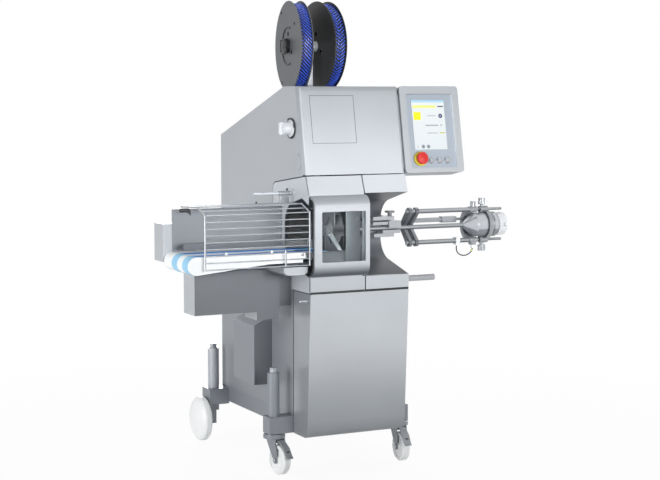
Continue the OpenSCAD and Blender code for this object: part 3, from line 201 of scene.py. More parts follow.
def addLamp(name):
    spec = lamps[name]
    data = bpy.data.lights.new(name + "Lamp", "AREA")
    data.shape = "RECTANGLE"
    data.size, data.size_y = spec["size"]
    data.spread = math.radians(spec["spread"])
    data.energy = spec["power"]
    lamp = bpy.data.objects.new(name + "Lamp", data)
    lamp.location = spec["place"]
    lamp.rotation_euler = (Vector(spec["aim"]) - lamp.location).to_track_quat("-Z", "Y").to_euler()
    bpy.context.scene.collection.objects.link(lamp)


def seenRay(look):  # 1 for rays that show the background itself, 0 for rays that light the object
    rays = [look.node("ShaderNodeLightPath", None, None, ray)
            for ray in ("Is Camera Ray", "Is Glossy Ray", "Is Transmission Ray")]
    return rays[0] | rays[1] | rays[2]


def addFloor():
    clearSelection()
    bpy.ops.mesh.primitive_plane_add(size=studio["floorSize"])
    floor = bpy.context.object
    floor.name = "studioFloor"
    look = Finish("studioFloorPaint")
    look.feed(BaseColor=[studio["floorTone"]] * 3 + [1], Roughness=studio["floorRough"])
    look.shader.inputs["Specular IOR Level"].default_value = studio["floorGloss"]
    reach = look.node("ShaderNodeVectorMath", {"operation": "LENGTH"}, {0: look.place()}, "Value")
    fade = look.node("ShaderNodeMapRange", {"interpolation_type": "SMOOTHSTEP"},
                     {"Value": reach, "From Min": studio["fadeFrom"], "From Max": studio["fadeTo"]})
    share = (fade * (1 - studio["floorGlow"]) + studio["floorGlow"]) * seenRay(look)
    paint = Value(look.tree, look.shader.outputs[0])
    glow = look.node("ShaderNodeEmission", None, {"Color": studio["white"], "Strength": 1.0})
    surface = look.node("ShaderNodeMixShader", None, {0: share, 1: paint, 2: glow})
    look.join(look.tree.nodes["Material Output"].inputs["Surface"], surface)
    floor.data.materials.append(look.material)


def addWorld():
    world = bpy.data.worlds.new("studioWorld")
    bpy.context.scene.world = world
    world.use_nodes = True
    sky = Finish("sky", world.node_tree)
    room = sky.node("ShaderNodeBackground", None,
                    {"Color": studio["skyTone"], "Strength": studio["ambient"]})
    white = sky.node("ShaderNodeBackground", None, {"Color": studio["white"], "Strength": 1.0})
    both = sky.node("ShaderNodeMixShader", None, {0: seenRay(sky), 1: room, 2: white})
    sky.join(world.node_tree.nodes["World Output"].inputs["Surface"], both)


addCamera()
addFloor()
addWorld()
for name in lamps:
    addLamp(name)
bpy.context.scene.view_settings.view_transform = "Standard"
print("studio ready")

# finishes

steelGrain = {"cloud": 5.0, "detail": 3.0, "sandRough": 0.16, "cloudRough": 0.1, "depth": 0.0004}
mouldGrain = {"cloud": 7.0, "detail": 3.0, "pebble": 350, "rough": 0.12, "bump": 0.05, "depth": 0.0003}
beltWeave = {"threads": 210.0, "cloud": 9.0, "detail": 3.0, "rough": 0.42, "weaveRough": 0.1,
             "bump": 0.12, "depth": 0.0003}
clearPane = {"tone": "#f4f8f8", "smear": 12.0, "detail": 4.0, "rough": 0.02, "smearRough": 0.05,
             "bend": 1.15}
sheetLook = {"rough": 0.42, "grain": 900, "bump": 0.06, "metal": 0.2, "veil": ("#f4f4f4", "#ffffff")}
paintedShadeTones = {  # painted shade and light by height: the folded sheet darkens where it bends away from the light and lightens where it faces it; height in mm, tone
    "door": ((770, "#a9adb2"), (836, "#a9adb2"), (838, "#505358"), (850, "#55585d"), (868, "#8d9196"),
             (890, "#acb0b5"), (1112, "#b3b7bc"), (1148, "#9a9ea3"), (1164, "#9a9ea3"),
             (1168, "#c2c6cb"), (1250, "#c6cacf")),
    "head": ((1250, "#b9bdc2"), (1342, "#b7bbc0"), (1437, "#afb3b8"), (1485, "#aaaeb3"),
             (1557, "#a6aaaf"), (1580, "#a1a5aa"), (1605, "#9ca0a5")),
    "cabinet": ((166, "#888c90"), (191, "#8e9296"), (233, "#9da1a5"), (316, "#a3a7ab"),
                (400, "#adb1b5"), (440, "#b3b7bb"), (524, "#babec2"), (607, "#bbbfc3"),
                (690, "#b8bcc1"), (764, "#b3b7bc")),
    "side": ((240, "#8b8f94"), (740, "#90949a"), (820, "#a8acb1"), (920, "#b2b6bb"), (1600, "#b2b6bb")),
}


def brush(look, where, rough, grain, bump, stretch=None):  # sanded surface, gives the cloud for the tone
    cloud = look.noise(where, steelGrain["cloud"], steelGrain["detail"])
    sand = look.noise(look.stretched(where, stretch) if stretch else where, grain)
    uneven = (sand - 0.5) * steelGrain["sandRough"] + (cloud - 0.5) * steelGrain["cloudRough"]
    look.feed(Roughness=uneven + rough, Normal=look.bump(sand, bump, steelGrain["depth"]))
    return cloud


def steelFinish(name, dark, light, rough, grain, metal, bump=0.06, stretch=None):
    look = Finish(name)
    cloud = brush(look, look.place(), rough, grain, bump, stretch)
    look.feed(BaseColor=look.mix(cloud, tint(dark), tint(light)), Metallic=metal)
    return look.material


# painted shade and light: the base colour follows the height tones above, standing in for how the light
# falls on the sheet
def paintedShadeFinish(name):
    look = Finish(name + "Sheet")
    where = look.place()
    shadeTones = paintedShadeTones[name]
    low, high = shadeTones[0][0] - 1, shadeTones[-1][0] + 1
    share = (look.axes(where)[2] - low * mm) * (1 / ((high - low) * mm))
    stops = [((z - low) / (high - low), tint(colour)) for z, colour in shadeTones]
    tone = look.node("ShaderNodeValToRGB", {"stops": stops}, {"Fac": share})
    cloud = brush(look, where, sheetLook["rough"], sheetLook["grain"], sheetLook["bump"])
    veil = look.mix(cloud, *(tint(colour) for colour in sheetLook["veil"]))
    look.feed(BaseColor=look.mix(1.0, tone, veil, "MULTIPLY"), Metallic=sheetLook["metal"])
    return look.material


def mouldedFinish(name, dark, light, rough):
    look = Finish(name)
    where = look.place()
    cloud = look.noise(where, mouldGrain["cloud"], mouldGrain["detail"])
    pebble = look.noise(where, mouldGrain["pebble"])
    look.feed(BaseColor=look.mix(cloud, tint(dark), tint(light)))
    look.feed(Roughness=rough + (pebble - 0.5) * mouldGrain["rough"])
    look.feed(Normal=look.bump(pebble, mouldGrain["bump"], mouldGrain["depth"]))
    return look.material


def beltFinish(name, dark, light):
    look = Finish(name)
    where = look.place()
    threads = {"Vector": where, "Scale": beltWeave["threads"]}
    along = look.node("ShaderNodeTexWave", {"bands_direction": "X"}, threads)
    across = look.node("ShaderNodeTexWave", {"bands_direction": "Y"}, threads)
    weave = along * across
    cloud = look.noise(where, beltWeave["cloud"], beltWeave["detail"])
    look.feed(BaseColor=look.mix(cloud, tint(dark), tint(light)))
    look.feed(Roughness=beltWeave["rough"] + (weave - 0.5) * beltWeave["weaveRough"])
    look.feed(Normal=look.bump(weave, beltWeave["bump"], beltWeave["depth"]))
    return look.material


def paneFinish():
    look = Finish("clearPane")
    smear = look.noise(look.place(), clearPane["smear"], clearPane["detail"])
    look.feed(BaseColor=tint(clearPane["tone"]))
    look.feed(Roughness=clearPane["rough"] + smear * clearPane["smearRough"])
    look.shader.inputs["Transmission Weight"].default_value = 1.0
    look.shader.inputs["IOR"].default_value = clearPane["bend"]
    return look.material


screenLayout = {
    "left": 516, "low": 98, "width": 158, "height": 210, "ground": ("#ccd2d5", "#d6dbdb"),
    "rough": 0.12, "smear": 40.0, "smearRough": 0.06, "glow": 0.06,
    "boxes": (  # left, low, right, high as shares of the screen, and the colour
        (0.00, 0.955, 1.00, 1.00, "#a5cbe0"), (0.04, 0.845, 0.74, 0.895, "#dfe377"),
        (0.80, 0.86, 0.97, 0.885, "#4a5058"), (0.04, 0.60, 0.26, 0.76, "#f2e21c"),
        (0.46, 0.675, 0.72, 0.69, "#9aa0a6"), (0.38, 0.48, 0.78, 0.50, "#8a9097"),
        (0.42, 0.325, 0.74, 0.34, "#9ca2a8"), (0.80, 0.325, 0.97, 0.345, "#b9bd3a"),
        (0.05, 0.13, 0.95, 0.134, "#d3d9df"),
    ),
    "dots": (  # middle and radius as shares of the width, and the colour
        (0.86, 0.68, 0.06, "#39406a"), (0.86, 0.68, 0.02, "#c9cfe0"), (0.86, 0.49, 0.03, "#b0b6bc"),
        (0.26, 0.06, 0.05, "#7f868e"), (0.42, 0.06, 0.05, "#7f868e"), (0.10, 0.06, 0.025, "#b5bbc1"),
    ),
}


def screenFinish():
    look = Finish("screenPicture")
    where = look.place()
    x, y, z = look.axes(where)
    lay = screenLayout
    foot = headSpot(lay["left"], 0, lay["low"])
    c, s = math.cos(headPlane["lean"]), math.sin(headPlane["lean"])
    u = (x - foot.x) * (1 / (lay["width"] * mm))
    v = ((y - foot.y) * s + (z - foot.z) * c) * (1 / (lay["height"] * mm))
    picture = look.mix(v, *(tint(colour) for colour in lay["ground"]))
    for left, low, right, high, colour in lay["boxes"]:
        picture = look.mix((u > left) * (u < right) * (v > low) * (v < high), picture, tint(colour))
    shape = lay["height"] / lay["width"]
    for cu, cv, r, colour in lay["dots"]:
        du, dv = u - cu, (v - cv) * shape
        picture = look.mix(du * du + dv * dv < r * r, picture, tint(colour))
    smear = look.noise(where, lay["smear"])
    look.feed(BaseColor=picture, EmissionColor=picture, Roughness=lay["rough"] + smear * lay["smearRough"])
    look.shader.inputs["Emission Strength"].default_value = lay["glow"]
    return look.material


turned = {"grain": 9, "bump": 0.03, "stretch": (90, 4, 4)}
drawn = {"grain": 9, "bump": 0.03, "stretch": (4, 90, 90)}
milled = {"grain": 60, "bump": 0.05, "stretch": (1, 8, 8)}
finish = {
    "satin": steelFinish("satinSteel", "#bfc3c8", "#c9cdd2", 0.42, 900, 0.2),
    "hood": steelFinish("panelSteel", "#a1a5a9", "#abafb3", 0.42, 900, 0.2),
    "sheet": steelFinish("sheetSteel", "#a7abb0", "#b1b5ba", 0.42, 900, 0.2),
    # painted shade: a darker copy of the satin steel for low and back parts that take less light
    "dull": steelFinish("midShadeSteel", "#7c8086", "#868a90", 0.42, 900, 0.2),
    "shade": steelFinish("throatSteel", "#5f6267", "#696c71", 0.4, 900, 0.2),
    "bright": steelFinish("polishedSteel", "#a2a6ab", "#b0b4b9", 0.2, 500, 0.55, bump=0.03),
    "edge": steelFinish("clampSteel", "#93979b", "#9fa2a6", 0.3, 300, 0.4, bump=0.03),
    "chrome": steelFinish("turnedSteel", "#b4b7bb", "#c2c5c9", 0.2, metal=0.5, **turned),
    "nickel": steelFinish("nutSteel", "#dadde0", "#e6e8ea", 0.22, metal=0.4, **turned),
    "drawn": steelFinish("drawnSteel", "#9b9ea2", "#abaeb2", 0.22, metal=0.5, **drawn),
    "machined": steelFinish("machinedSteel", "#94979b", "#a2a5a9", 0.3, metal=0.35, **milled),
    "white": mouldedFinish("whitePlate", "#e9ecee", "#f2f4f4", 0.45),
    "nylon": mouldedFinish("wheelNylon", "#eceeee", "#f5f6f6", 0.4),
    "black": mouldedFinish("blackMoulding", "#1c1d20", "#26282b", 0.45),
    "grey": mouldedFinish("greyFlange", "#4d5054", "#575a5e", 0.5),
    "red": mouldedFinish("redCap", "#b81d1a", "#cc2824", 0.3),
    "yellow": mouldedFinish("yellowCollar", "#c6b428", "#d6c63a", 0.4),
    "fascia": mouldedFinish("fasciaFilm", "#99a2ad", "#a3acb7", 0.35),
    # painted shade: the near-black coil body shows as the shaded gaps between the clip strands
    "coilGapShade": mouldedFinish("coilGapShade", "#080b1c", "#0c1130", 0.6),
    "clip": mouldedFinish("blueClip", "#2c4cc4", "#4468dc", 0.25),
    "cable": mouldedFinish("cableSheath", "#161719", "#1f2123", 0.5),
    "seal": mouldedFinish("rubberSeal", "#0e0f11", "#18191b", 0.6),
    "ink": mouldedFinish("plateLine", "#33373d", "#3d4248", 0.5),
    "switch": mouldedFinish("switchGrey", "#c3c6ca", "#cfd2d6", 0.35),
    "lime": mouldedFinish("limeRing", "#b6cf1e", "#c6dd2e", 0.4),
    "drive": mouldedFinish("driveEnamel", "#5d6268", "#6a6f75", 0.45),
    "belt": beltFinish("beltBlue", "#83bfe2", "#98cdea"),
    # painted shade: a deeper blue on the belt's top run; the paler blue stays on the nose
    "beltTopShade": beltFinish("beltTopPaintedShade", "#3f7fd2", "#5490dc"),
    # painted shade: the belt's return run, dark under the bed
    "beltUnderShade": beltFinish("beltUnderPaintedShade", "#4a5460", "#566170"),
    "pane": paneFinish(),
    "screen": screenFinish(),
}
for name in paintedShadeTones:
    finish[name] = paintedShadeFinish(name)
finishOf = {  # nodes not named here are satin
    "bright": ("cage_guard", "guard_hub", "cabinet_latch", "upper_clip_tool", "lower_clip_tool",
               "start_button", "halt_button", "reset_button", "crank_disc", "nose_roller", "drive_roller"),
    "sheet": ("right_side_panel", "rear_cover", "conveyor_motor_box"),
    # side, cabinet, door and head take the height-graded painted shade and light
    "side": ("left_side_panel",),
    "cabinet": ("cabinet_door",),
    "door": ("clip_door",),
    "head": ("head_cover",),
    "hood": ("hmi_housing",),
    "chrome": ("stuffing_horn",),
    "nickel": ("union_nut",),
    "edge": ("horn_clamp", "left_caster_brake", "right_caster_brake"),
    "shade": ("thumb_knob",),
    # painted shade: these parts take the darker steel
    "dull": ("left_caster_fork", "right_caster_fork", "chassis_rails", "side_cover",
             "conveyor_drive_box", "guard_back_plate"),
    "drawn": ("guide_rods", "horn_tube", "coupling_bar", "brake_cylinder"),
    "machined": ("rod_brackets", "casing_brake", "tool_guides", "machine_frame"),
    "white": ("conveyor_bed", "casing_sensor"),
    "nylon": ("left_caster_wheel", "right_caster_wheel", "left_rear_wheel", "right_rear_wheel"),
    "switch": ("main_switch",),
    "black": ("right_reel",),
    "grey": ("left_reel",),
    "red": ("stop_button",),
    "yellow": ("stop_collar",),
    "fascia": ("hmi_panel",),
    "coilGapShade": ("left_clip_coil", "right_clip_coil"),
    "cable": ("sensor_cable",),
    "drive": ("drive_motor",),
    "belt": ("conveyor_belts",),
    "pane": ("door_window",),
    "screen": ("hmi_screen",),
}
plainEdge = 0.0008
edgeWidth = {"head_cover": 0.0016, "hmi_housing": 0.002, "cabinet_door": 0.0016, "clip_door": 0.0012,
             "conveyor_bed": 0.002, "chassis_rails": 0.0022, "cage_guard": 0.0004, "hmi_screen": 0.0005}
unionNut = {"y": 138, "z": 1009, "slotFloor": 40}


def inNutSlot(x, y, z, turn):  # side walls of the nut's slots, which take painted shade
    out = Vector((0, y - unionNut["y"], z - unionNut["z"]))
    return out.length > unionNut["slotFloor"] and abs(turn.x) < 0.5 and abs(turn.dot(out.normalized())) < 0.6


faceColoursAndPaintedLight = (  # a node, a finish and the faces that take it: middle in drawing mm, normal; most rows paint shade or light onto faces
    # painted shade: the throat's inner faces
    ("clip_frame", "shade", lambda x, y, z, turn: x > 0 and y > 12 and 830 < z < 1190 and abs(turn.x) < 0.7),
    # painted shade: the clip frame's lower front band
    ("clip_frame", "sheet", lambda x, y, z, turn: y < 5 and z < 880 and turn.y < -0.7),
    # painted light: the drive box's left face and tray in a lighter steel
    ("conveyor_drive_box", "sheet", lambda x, y, z, turn: turn.x < -0.9 or z > 856),
    # painted shade: the drive box's front face
    ("conveyor_drive_box", "shade", lambda x, y, z, turn: turn.y < -0.9 and z < 850),
    # painted shade on the belt's top run and return run
    ("conveyor_belts", "beltTopShade", lambda x, y, z, turn: turn.z > 0.9 and x > -480),
    ("conveyor_belts", "beltUnderShade", lambda x, y, z, turn: turn.z < -0.6 and x > -480),
    ("conveyor_belts", "beltUnderShade", lambda x, y, z, turn: z < 915 and x > -470),
    ("chassis_rails", "bright", lambda x, y, z, turn: z > 424),
    # painted light: the rear left post in a lighter steel
    ("chassis_rails", "sheet", lambda x, y, z, turn: y > 500 and 250 < z < 424),
    # painted shade: the product rail under the guard
    ("guard_back_plate", "shade", lambda x, y, z, turn: z < 1000 and y < 262),
    # painted shade: the side cover's faces that look forward
    ("side_cover", "shade", lambda x, y, z, turn: turn.y < -0.5),
    # painted highlight: the right wall of the panel recess in white
    ("hmi_housing", "white", lambda x, y, z, turn: x > 650 and turn.x < -0.7),
    # painted shade: the top wall of the panel recess
    ("hmi_housing", "shade", lambda x, y, z, turn: z > 1480 and turn.z < -0.7),
    # painted shade: the cabinet door's left side in a darker steel
    ("cabinet_door", "edge", lambda x, y, z, turn: turn.x < -0.9),
    ("reel_stand", "black", lambda x, y, z, turn: x < 100 and z > 1700),
    # painted shade on the horn's underside
    ("stuffing_horn", "dull", lambda x, y, z, turn: turn.z < -0.35),
    # painted shade on the undersides of the rods and tube
    ("guide_rods", "shade", lambda x, y, z, turn: turn.z < -0.2),
    ("horn_tube", "shade", lambda x, y, z, turn: turn.z < -0.2),
    # painted shade: the left arms darker, their tops stay lighter
    ("rod_brackets", "shade", lambda x, y, z, turn: x < 700 and turn.z < 0.6),
    # painted shade: the clamp ring's end faces
    ("horn_clamp", "shade", lambda x, y, z, turn: abs(turn.x) > 0.9 and 940 < z < 1078),
    # painted shade: the walls of the nut's slots
    ("union_nut", "shade", inNutSlot),
)


def dressNode(name, material, width):
    obj = nodes[name]
    obj.data.materials.clear()
    obj.data.materials.append(material)
    obj.data.polygons.foreach_set("use_smooth", [True] * len(obj.data.polygons))
    weld = obj.modifiers.new("weld", "WELD")
    weld.merge_threshold = 1e-5
    bevel = obj.modifiers.new("edges", "BEVEL")
    bevel.width = width
    bevel.segments = 2
    bevel.limit_method = "ANGLE"
    bevel.angle_limit = edgeAngle
    normals = obj.modifiers.new("normals", "WEIGHTED_NORMAL")
    normals.keep_sharp = False


def paintFaces(name, look, test):
    mesh = nodes[name].data
    mesh.materials.append(finish[look])
    for face in mesh.polygons:
        x, y, z = face.center / mm
        if test(x + datum["x"], y + datum["y"], z, face.normal):
            face.material_index = len(mesh.materials) - 1


dressed = {node: key for key, names in finishOf.items() for node in names}
for name in nodes:
    dressNode(name, finish[dressed.get(name, "satin")], edgeWidth.get(name, plainEdge))
for name, look, test in faceColoursAndPaintedLight:
    paintFaces(name, look, test)
print("solids dressed")

# modelling helpers


def choose(obj):
    clearSelection()
    obj.select_set(True)
    bpy.context.view_layer.objects.active = obj


def editFaces(obj, test):  # picks faces by their middle and normal, and stays in edit mode
    choose(obj)
    bpy.ops.object.mode_set(mode="EDIT")
    bpy.ops.mesh.select_mode(type="FACE")
    bpy.ops.mesh.select_all(action="DESELECT")
    bpy.ops.object.mode_set(mode="OBJECT")
    for face in obj.data.polygons:
        face.select = test(face.center, face.normal)
    bpy.ops.object.mode_set(mode="EDIT")


def leaveEdit():
    bpy.ops.object.mode_set(mode="OBJECT")


def looking(x, y, z, least=0.9):  # a test for faces that look along an axis
    return lambda middle, normal: normal.dot(Vector((x, y, z))) > least


def everyFace(middle, normal):
    return True


def inset(thickness, depth=0.0):
    bpy.ops.mesh.inset(thickness=thickness, depth=depth)


def push(x, y, z):
    bpy.ops.mesh.extrude_region_move(TRANSFORM_OT_translate={"value": (x, y, z)})


def applyModifier(obj, kind, **settings):
    choose(obj)
    modifier = obj.modifiers.new(kind.lower(), kind)
    for key, value in settings.items():
        setattr(modifier, key, value)
    bpy.ops.object.modifier_apply(modifier=modifier.name)


def softEdges(obj, width, segments=2):
    applyModifier(obj, "BEVEL", width=width, segments=segments, limit_method="ANGLE", angle_limit=edgeAngle)


def shift(x, y, z):  # a move in millimetres
    return Matrix.Translation((x * mm, y * mm, z * mm))


def rotation(angle, axis):
    return Matrix.Rotation(angle, 4, axis)


def facing(place, axis):  # local Z along axis
    return Matrix.Translation(place) @ Vector(axis).to_track_quat("Z", "Y").to_matrix().to_4x4()


def headFacing(x, depth, up):  # local Z comes out of the head's plane, local Y runs up it
    return Matrix.Translation(headSpot(x, depth, up)) @ rotation(quarter - headPlane["lean"], "X")


def settle(obj, matrix):  # puts the place into the mesh
    choose(obj)
    obj.matrix_world = matrix
    bpy.ops.object.transform_apply(location=True, rotation=True, scale=True)


def finishPiece(obj, name, body, look):
    choose(obj)
    bpy.ops.object.shade_smooth_by_angle(angle=edgeAngle)
    obj.name = name
    obj.data.name = name
    obj.data.materials.clear()
    obj.data.materials.append(finish[look])
    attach(obj, body)


def startBox(width, length, height):
    clearSelection()
    bpy.ops.mesh.primitive_cube_add(size=1)
    obj = bpy.context.object
    obj.scale = (width, length, height)
    bpy.ops.object.transform_apply(scale=True)
    return obj


def spanBox(spec):  # a box from its limits in drawing millimetres, and its place
    x, y, z = spec["x"], spec["y"], spec["z"]
    box = startBox((x[1] - x[0]) * mm, (y[1] - y[0]) * mm, (z[1] - z[0]) * mm)
    return box, Matrix.Translation(spot(sum(x) / 2, sum(y) / 2, sum(z) / 2))


def startDrum(radius, height, sides=32):  # stands on local z = 0
    clearSelection()
    bpy.ops.mesh.primitive_cylinder_add(vertices=sides, radius=radius, depth=height,
                                        location=(0, 0, height / 2))
    bpy.ops.object.transform_apply(location=True)
    return bpy.context.object


def ringCopies(obj, count, axis):  # copies the piece round a local axis and keeps one mesh
    clearSelection()
    hand = bpy.data.objects.new("turn", None)
    bpy.context.scene.collection.objects.link(hand)
    hand.rotation_euler = [2 * math.pi / count * part for part in axis]
    bpy.context.view_layer.update()
    applyModifier(obj, "ARRAY", count=count, use_relative_offset=False, use_object_offset=True,
                  offset_object=hand)
    bpy.data.objects.remove(hand)


def joinAll(pieces):
    clearSelection()
    for piece in pieces:
        piece.select_set(True)
    bpy.context.view_layer.objects.active = pieces[0]
    bpy.ops.object.join()
    return bpy.context.object


# shapes used by several pieces

boltShape = {"chamfer": 0.16, "drop": 0.14, "rim": 0.3, "rise": 0.25, "edge": 0.05}
screwShape = {"sides": 24, "rim": 0.22, "dome": 0.22, "land": 0.3, "sunk": 0.7}
ridgeShape = {"crest": 0.3, "edge": 0.18}


def ringOf(outer, inner, height, sides=32):  # a flat collar, hole through the middle
    obj = startDrum(outer, height, sides)
    editFaces(obj, lambda middle, normal: abs(normal.z) > 0.9)
    inset(outer - inner)
    bpy.ops.mesh.bridge_edge_loops()
    leaveEdit()
    return obj


def hexBolt(radius, height):  # chamfered head with a raised centre
    obj = startDrum(radius, height, 6)
    editFaces(obj, looking(0, 0, 1))
    inset(radius * boltShape["chamfer"], height * boltShape["drop"])
    inset(radius * boltShape["rim"])
    push(0, 0, height * boltShape["rise"])
    leaveEdit()
    softEdges(obj, radius * boltShape["edge"])
    return obj


def socketScrew(radius, height):  # round head with a sunk drive
    obj = startDrum(radius, height, screwShape["sides"])
    editFaces(obj, looking(0, 0, 1))
    inset(radius * screwShape["rim"], height * screwShape["dome"])
    inset(radius * screwShape["land"])
    push(0, 0, -height * screwShape["sunk"])
    leaveEdit()
    return obj


def flatFrame(width, height, border, thickness):  # a thin rectangular line, lying in XY
    clearSelection()
    bpy.ops.mesh.primitive_plane_add(size=1)
    obj = bpy.context.object
    obj.scale = (width, height, 1)
    bpy.ops.object.transform_apply(scale=True)
    editFaces(obj, everyFace)
    inset(border)
    bpy.ops.mesh.delete(type="FACE")
    leaveEdit()
    applyModifier(obj, "SOLIDIFY", thickness=thickness, offset=1)
    return obj


def ridges(spec):  # knurling that stands round local Z
    wide, high = spec["wide"] * mm, spec["height"] * mm
    obj = startBox(spec["proud"] * mm * 2, wide, high)
    editFaces(obj, looking(1, 0, 0))
    inset(wide * ridgeShape["crest"])
    leaveEdit()
    softEdges(obj, wide * ridgeShape["edge"], 1)
    settle(obj, Matrix.Translation((spec["radius"] * mm, 0, high / 2)))
    ringCopies(obj, spec["count"], (0, 0, 1))
    return obj


def sinkFront(obj, spec):  # a sunk field in the front, inside a rim
    editFaces(obj, looking(0, -1, 0))
    inset(spec["rim"] * mm)
    inset(1 * mm, -spec["sunk"] * mm)
    leaveEdit()
    softEdges(obj, spec["edge"] * mm)


# sensor cable

sensorCable = {
    "route": ((768, 922), (767, 912), (768, 901), (772, 892), (780, 884), (790, 879), (801, 876),
              (812, 876), (823, 879), (834, 884), (842, 891), (847, 899), (848, 907.5)),
    "y": 138, "diameter": 5, "sides": 4, "steps": 6, "order": 4,
}


def addSensorCable():
    points = [spot(x, sensorCable["y"], z) for x, z in sensorCable["route"]]
    curve = bpy.data.curves.new("sensorCable", "CURVE")
    curve.dimensions = "3D"
    curve.bevel_depth = sensorCable["diameter"] * mm / 2
    curve.bevel_resolution = sensorCable["sides"]
    curve.resolution_u = sensorCable["steps"]
    curve.use_fill_caps = True
    line = curve.splines.new("NURBS")
    line.points.add(len(points) - 1)
    for knot, point in zip(line.points, points):
        knot.co = (*point, 1)
    line.order_u = sensorCable["order"]
    line.use_endpoint_u = True
    obj = bpy.data.objects.new("sensorCable", curve)
    bpy.context.scene.collection.objects.link(obj)
    curve.materials.append(finish["cable"])
    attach(obj, "machine")
    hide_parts("sensor_cable")


addSensorCable()
print("cable laid")

# clip reels

reels = {"stand": (183, 400, 1776), "splay": 8, "wound": 178, "flangeFace": 90}
clipStrands = {
    "count": 75, "wide": 4.6, "thick": 4, "proud": 0.6, "rim": 0.9, "rise": 0.5, "edge": 0.5,
    "lay": {  # from, to and slant of each column
        "left": ((39, 76, -45), (77.5, 86, 0)),
        "right": ((40, 49, 0), (50, 64, -40), (65, 86, 42)),
    },
}
reelHub = {"from": 100.2, "deep": 17, "size": 62, "rim": 7, "sunk": 5, "land": 9, "boss": 4, "edge": 2}
reelSpring = {"radius": 80, "wire": 2.1, "open": 62, "steps": 56, "sides": 8}
reelEyelets = {"places": ((-97, 144), (-90, -154), (90, 91)), "radius": 6.5, "high": 1.6}


def reelPlace(side):
    turn = math.radians(180 - reels["splay"]) if side == "left" else 0
    return Matrix.Translation(spot(*reels["stand"])) @ rotation(turn, "Z")


def addStrands(side):
    spec = clipStrands
    bars = []
    for column, (start, stop, slant) in enumerate(spec["lay"][side]):
        long = (stop - start) / math.cos(math.radians(slant))
        bar = startBox(long * mm, spec["wide"] * mm, spec["thick"] * mm)
        editFaces(bar, looking(0, 0, 1))
        inset(spec["rim"] * mm, spec["rise"] * mm)
        leaveEdit()
        softEdges(bar, spec["edge"] * mm, 1)
        stagger = math.pi / spec["count"] * (column % 2)
        out = shift((start + stop) / 2, 0, reels["wound"] + spec["proud"])
        settle(bar, rotation(stagger, "X") @ out @ rotation(math.radians(slant), "Z"))
        bars.append(bar)
    wound = joinAll(bars)
    ringCopies(wound, spec["count"], (1, 0, 0))
    settle(wound, reelPlace(side))
    finishPiece(wound, side + "ClipStrands", side + "_reel", "clip")


def addReelHub():
    spec = reelHub
    block = startBox(spec["deep"] * mm, spec["size"] * mm, spec["size"] * mm)
    editFaces(block, looking(1, 0, 0))
    inset(spec["rim"] * mm)
    push(-spec["sunk"] * mm, 0, 0)
    inset(spec["land"] * mm, spec["boss"] * mm)
    leaveEdit()
    softEdges(block, spec["edge"] * mm)
    settle(block, reelPlace("left") @ shift(spec["from"] + spec["deep"] / 2, 0, 0))
    finishPiece(block, "leftReelHub", "machine", "black")


def addReelSpring():
    spec = reelSpring
    clearSelection()
    bpy.ops.mesh.primitive_torus_add(major_radius=spec["radius"] * mm, minor_radius=spec["wire"] * mm,
                                     major_segments=spec["steps"], minor_segments=spec["sides"])
    wire = bpy.context.object
    editFaces(wire, lambda middle, normal: abs(math.degrees(math.atan2(middle.y, middle.x))) < spec["open"])
    bpy.ops.mesh.delete(type="FACE")
    bpy.ops.mesh.select_all(action="SELECT")
    bpy.ops.mesh.fill_holes(sides=0)
    leaveEdit()
    out = shift(reels["flangeFace"] + spec["wire"], 0, 0)
    settle(wire, reelPlace("left") @ out @ rotation(quarter, "Z") @ rotation(quarter, "X"))
    finishPiece(wire, "leftReelSpring", "left_reel", "black")


def addReelEyelets():
    plugs = []
    for y, z in reelEyelets["places"]:
        plug = socketScrew(reelEyelets["radius"] * mm, reelEyelets["high"] * mm)
        settle(plug, reelPlace("left") @ shift(reels["flangeFace"], y, z) @ rotation(quarter, "Y"))
        plugs.append(plug)
    finishPiece(joinAll(plugs), "leftReelEyelets", "left_reel", "black")


for side in ("left", "right"):
    addStrands(side)
addReelHub()
addReelSpring()
addReelEyelets()
print("reels wound")

# head plate outline and side fittings

headPlate = {"x": (40, 241), "up": (129, 327), "line": 1.6, "proud": 0.35}
switchSkirt = {"y": 180, "z": 1433, "inner": 36.6, "outer": 43, "deep": 9, "sides": 48,
               "lobes": 4, "lobeShare": 0.42, "notch": 4.5, "edge": 0.7}
sideScrews = {"places": ((221.5, 1179.7), (537.4, 1104.6)), "radius": 5.5, "head": 3}


def addHeadPlate():
    (left, right), (low, high) = headPlate["x"], headPlate["up"]
    line = flatFrame((right - left) * mm, (high - low) * mm, headPlate["line"] * mm, headPlate["proud"] * mm)
    settle(line, headFacing((left + right) / 2, 0, (low + high) / 2))
    finishPiece(line, "headPlateOutline", "machine", "ink")


def addSwitchSkirt():
    spec = switchSkirt
    ring = ringOf(spec["outer"] * mm, spec["inner"] * mm, spec["deep"] * mm, spec["sides"])
    gap = 360 / spec["lobes"]
    editFaces(ring, lambda middle, normal: normal.z > 0.9
              and math.degrees(math.atan2(middle.y, middle.x)) % gap > gap * spec["lobeShare"])
    bpy.ops.transform.translate(value=(0, 0, -spec["notch"] * mm))
    leaveEdit()
    softEdges(ring, spec["edge"] * mm)
    settle(ring, facing(spot(0, spec["y"], spec["z"]), (-1, 0, 0)))
    finishPiece(ring, "switchSkirt", "machine", "black")


def addSideScrews():
    heads = []
    for y, z in sideScrews["places"]:
        head = socketScrew(sideScrews["radius"] * mm, sideScrews["head"] * mm)
        settle(head, facing(spot(0, y, z), (-1, 0, 0)))
        heads.append(head)
    finishPiece(joinAll(heads), "sideScrews", "machine", "black")


addHeadPlate()
addSwitchSkirt()
addSideScrews()
print("head fitted")

# rings round the operator panel's buttons

buttonRings = {"places": (590, 629, 668), "up": 51, "face": 9, "outer": 14.6, "inner": 11.7,
               "proud": 5.2, "edge": 0.9}


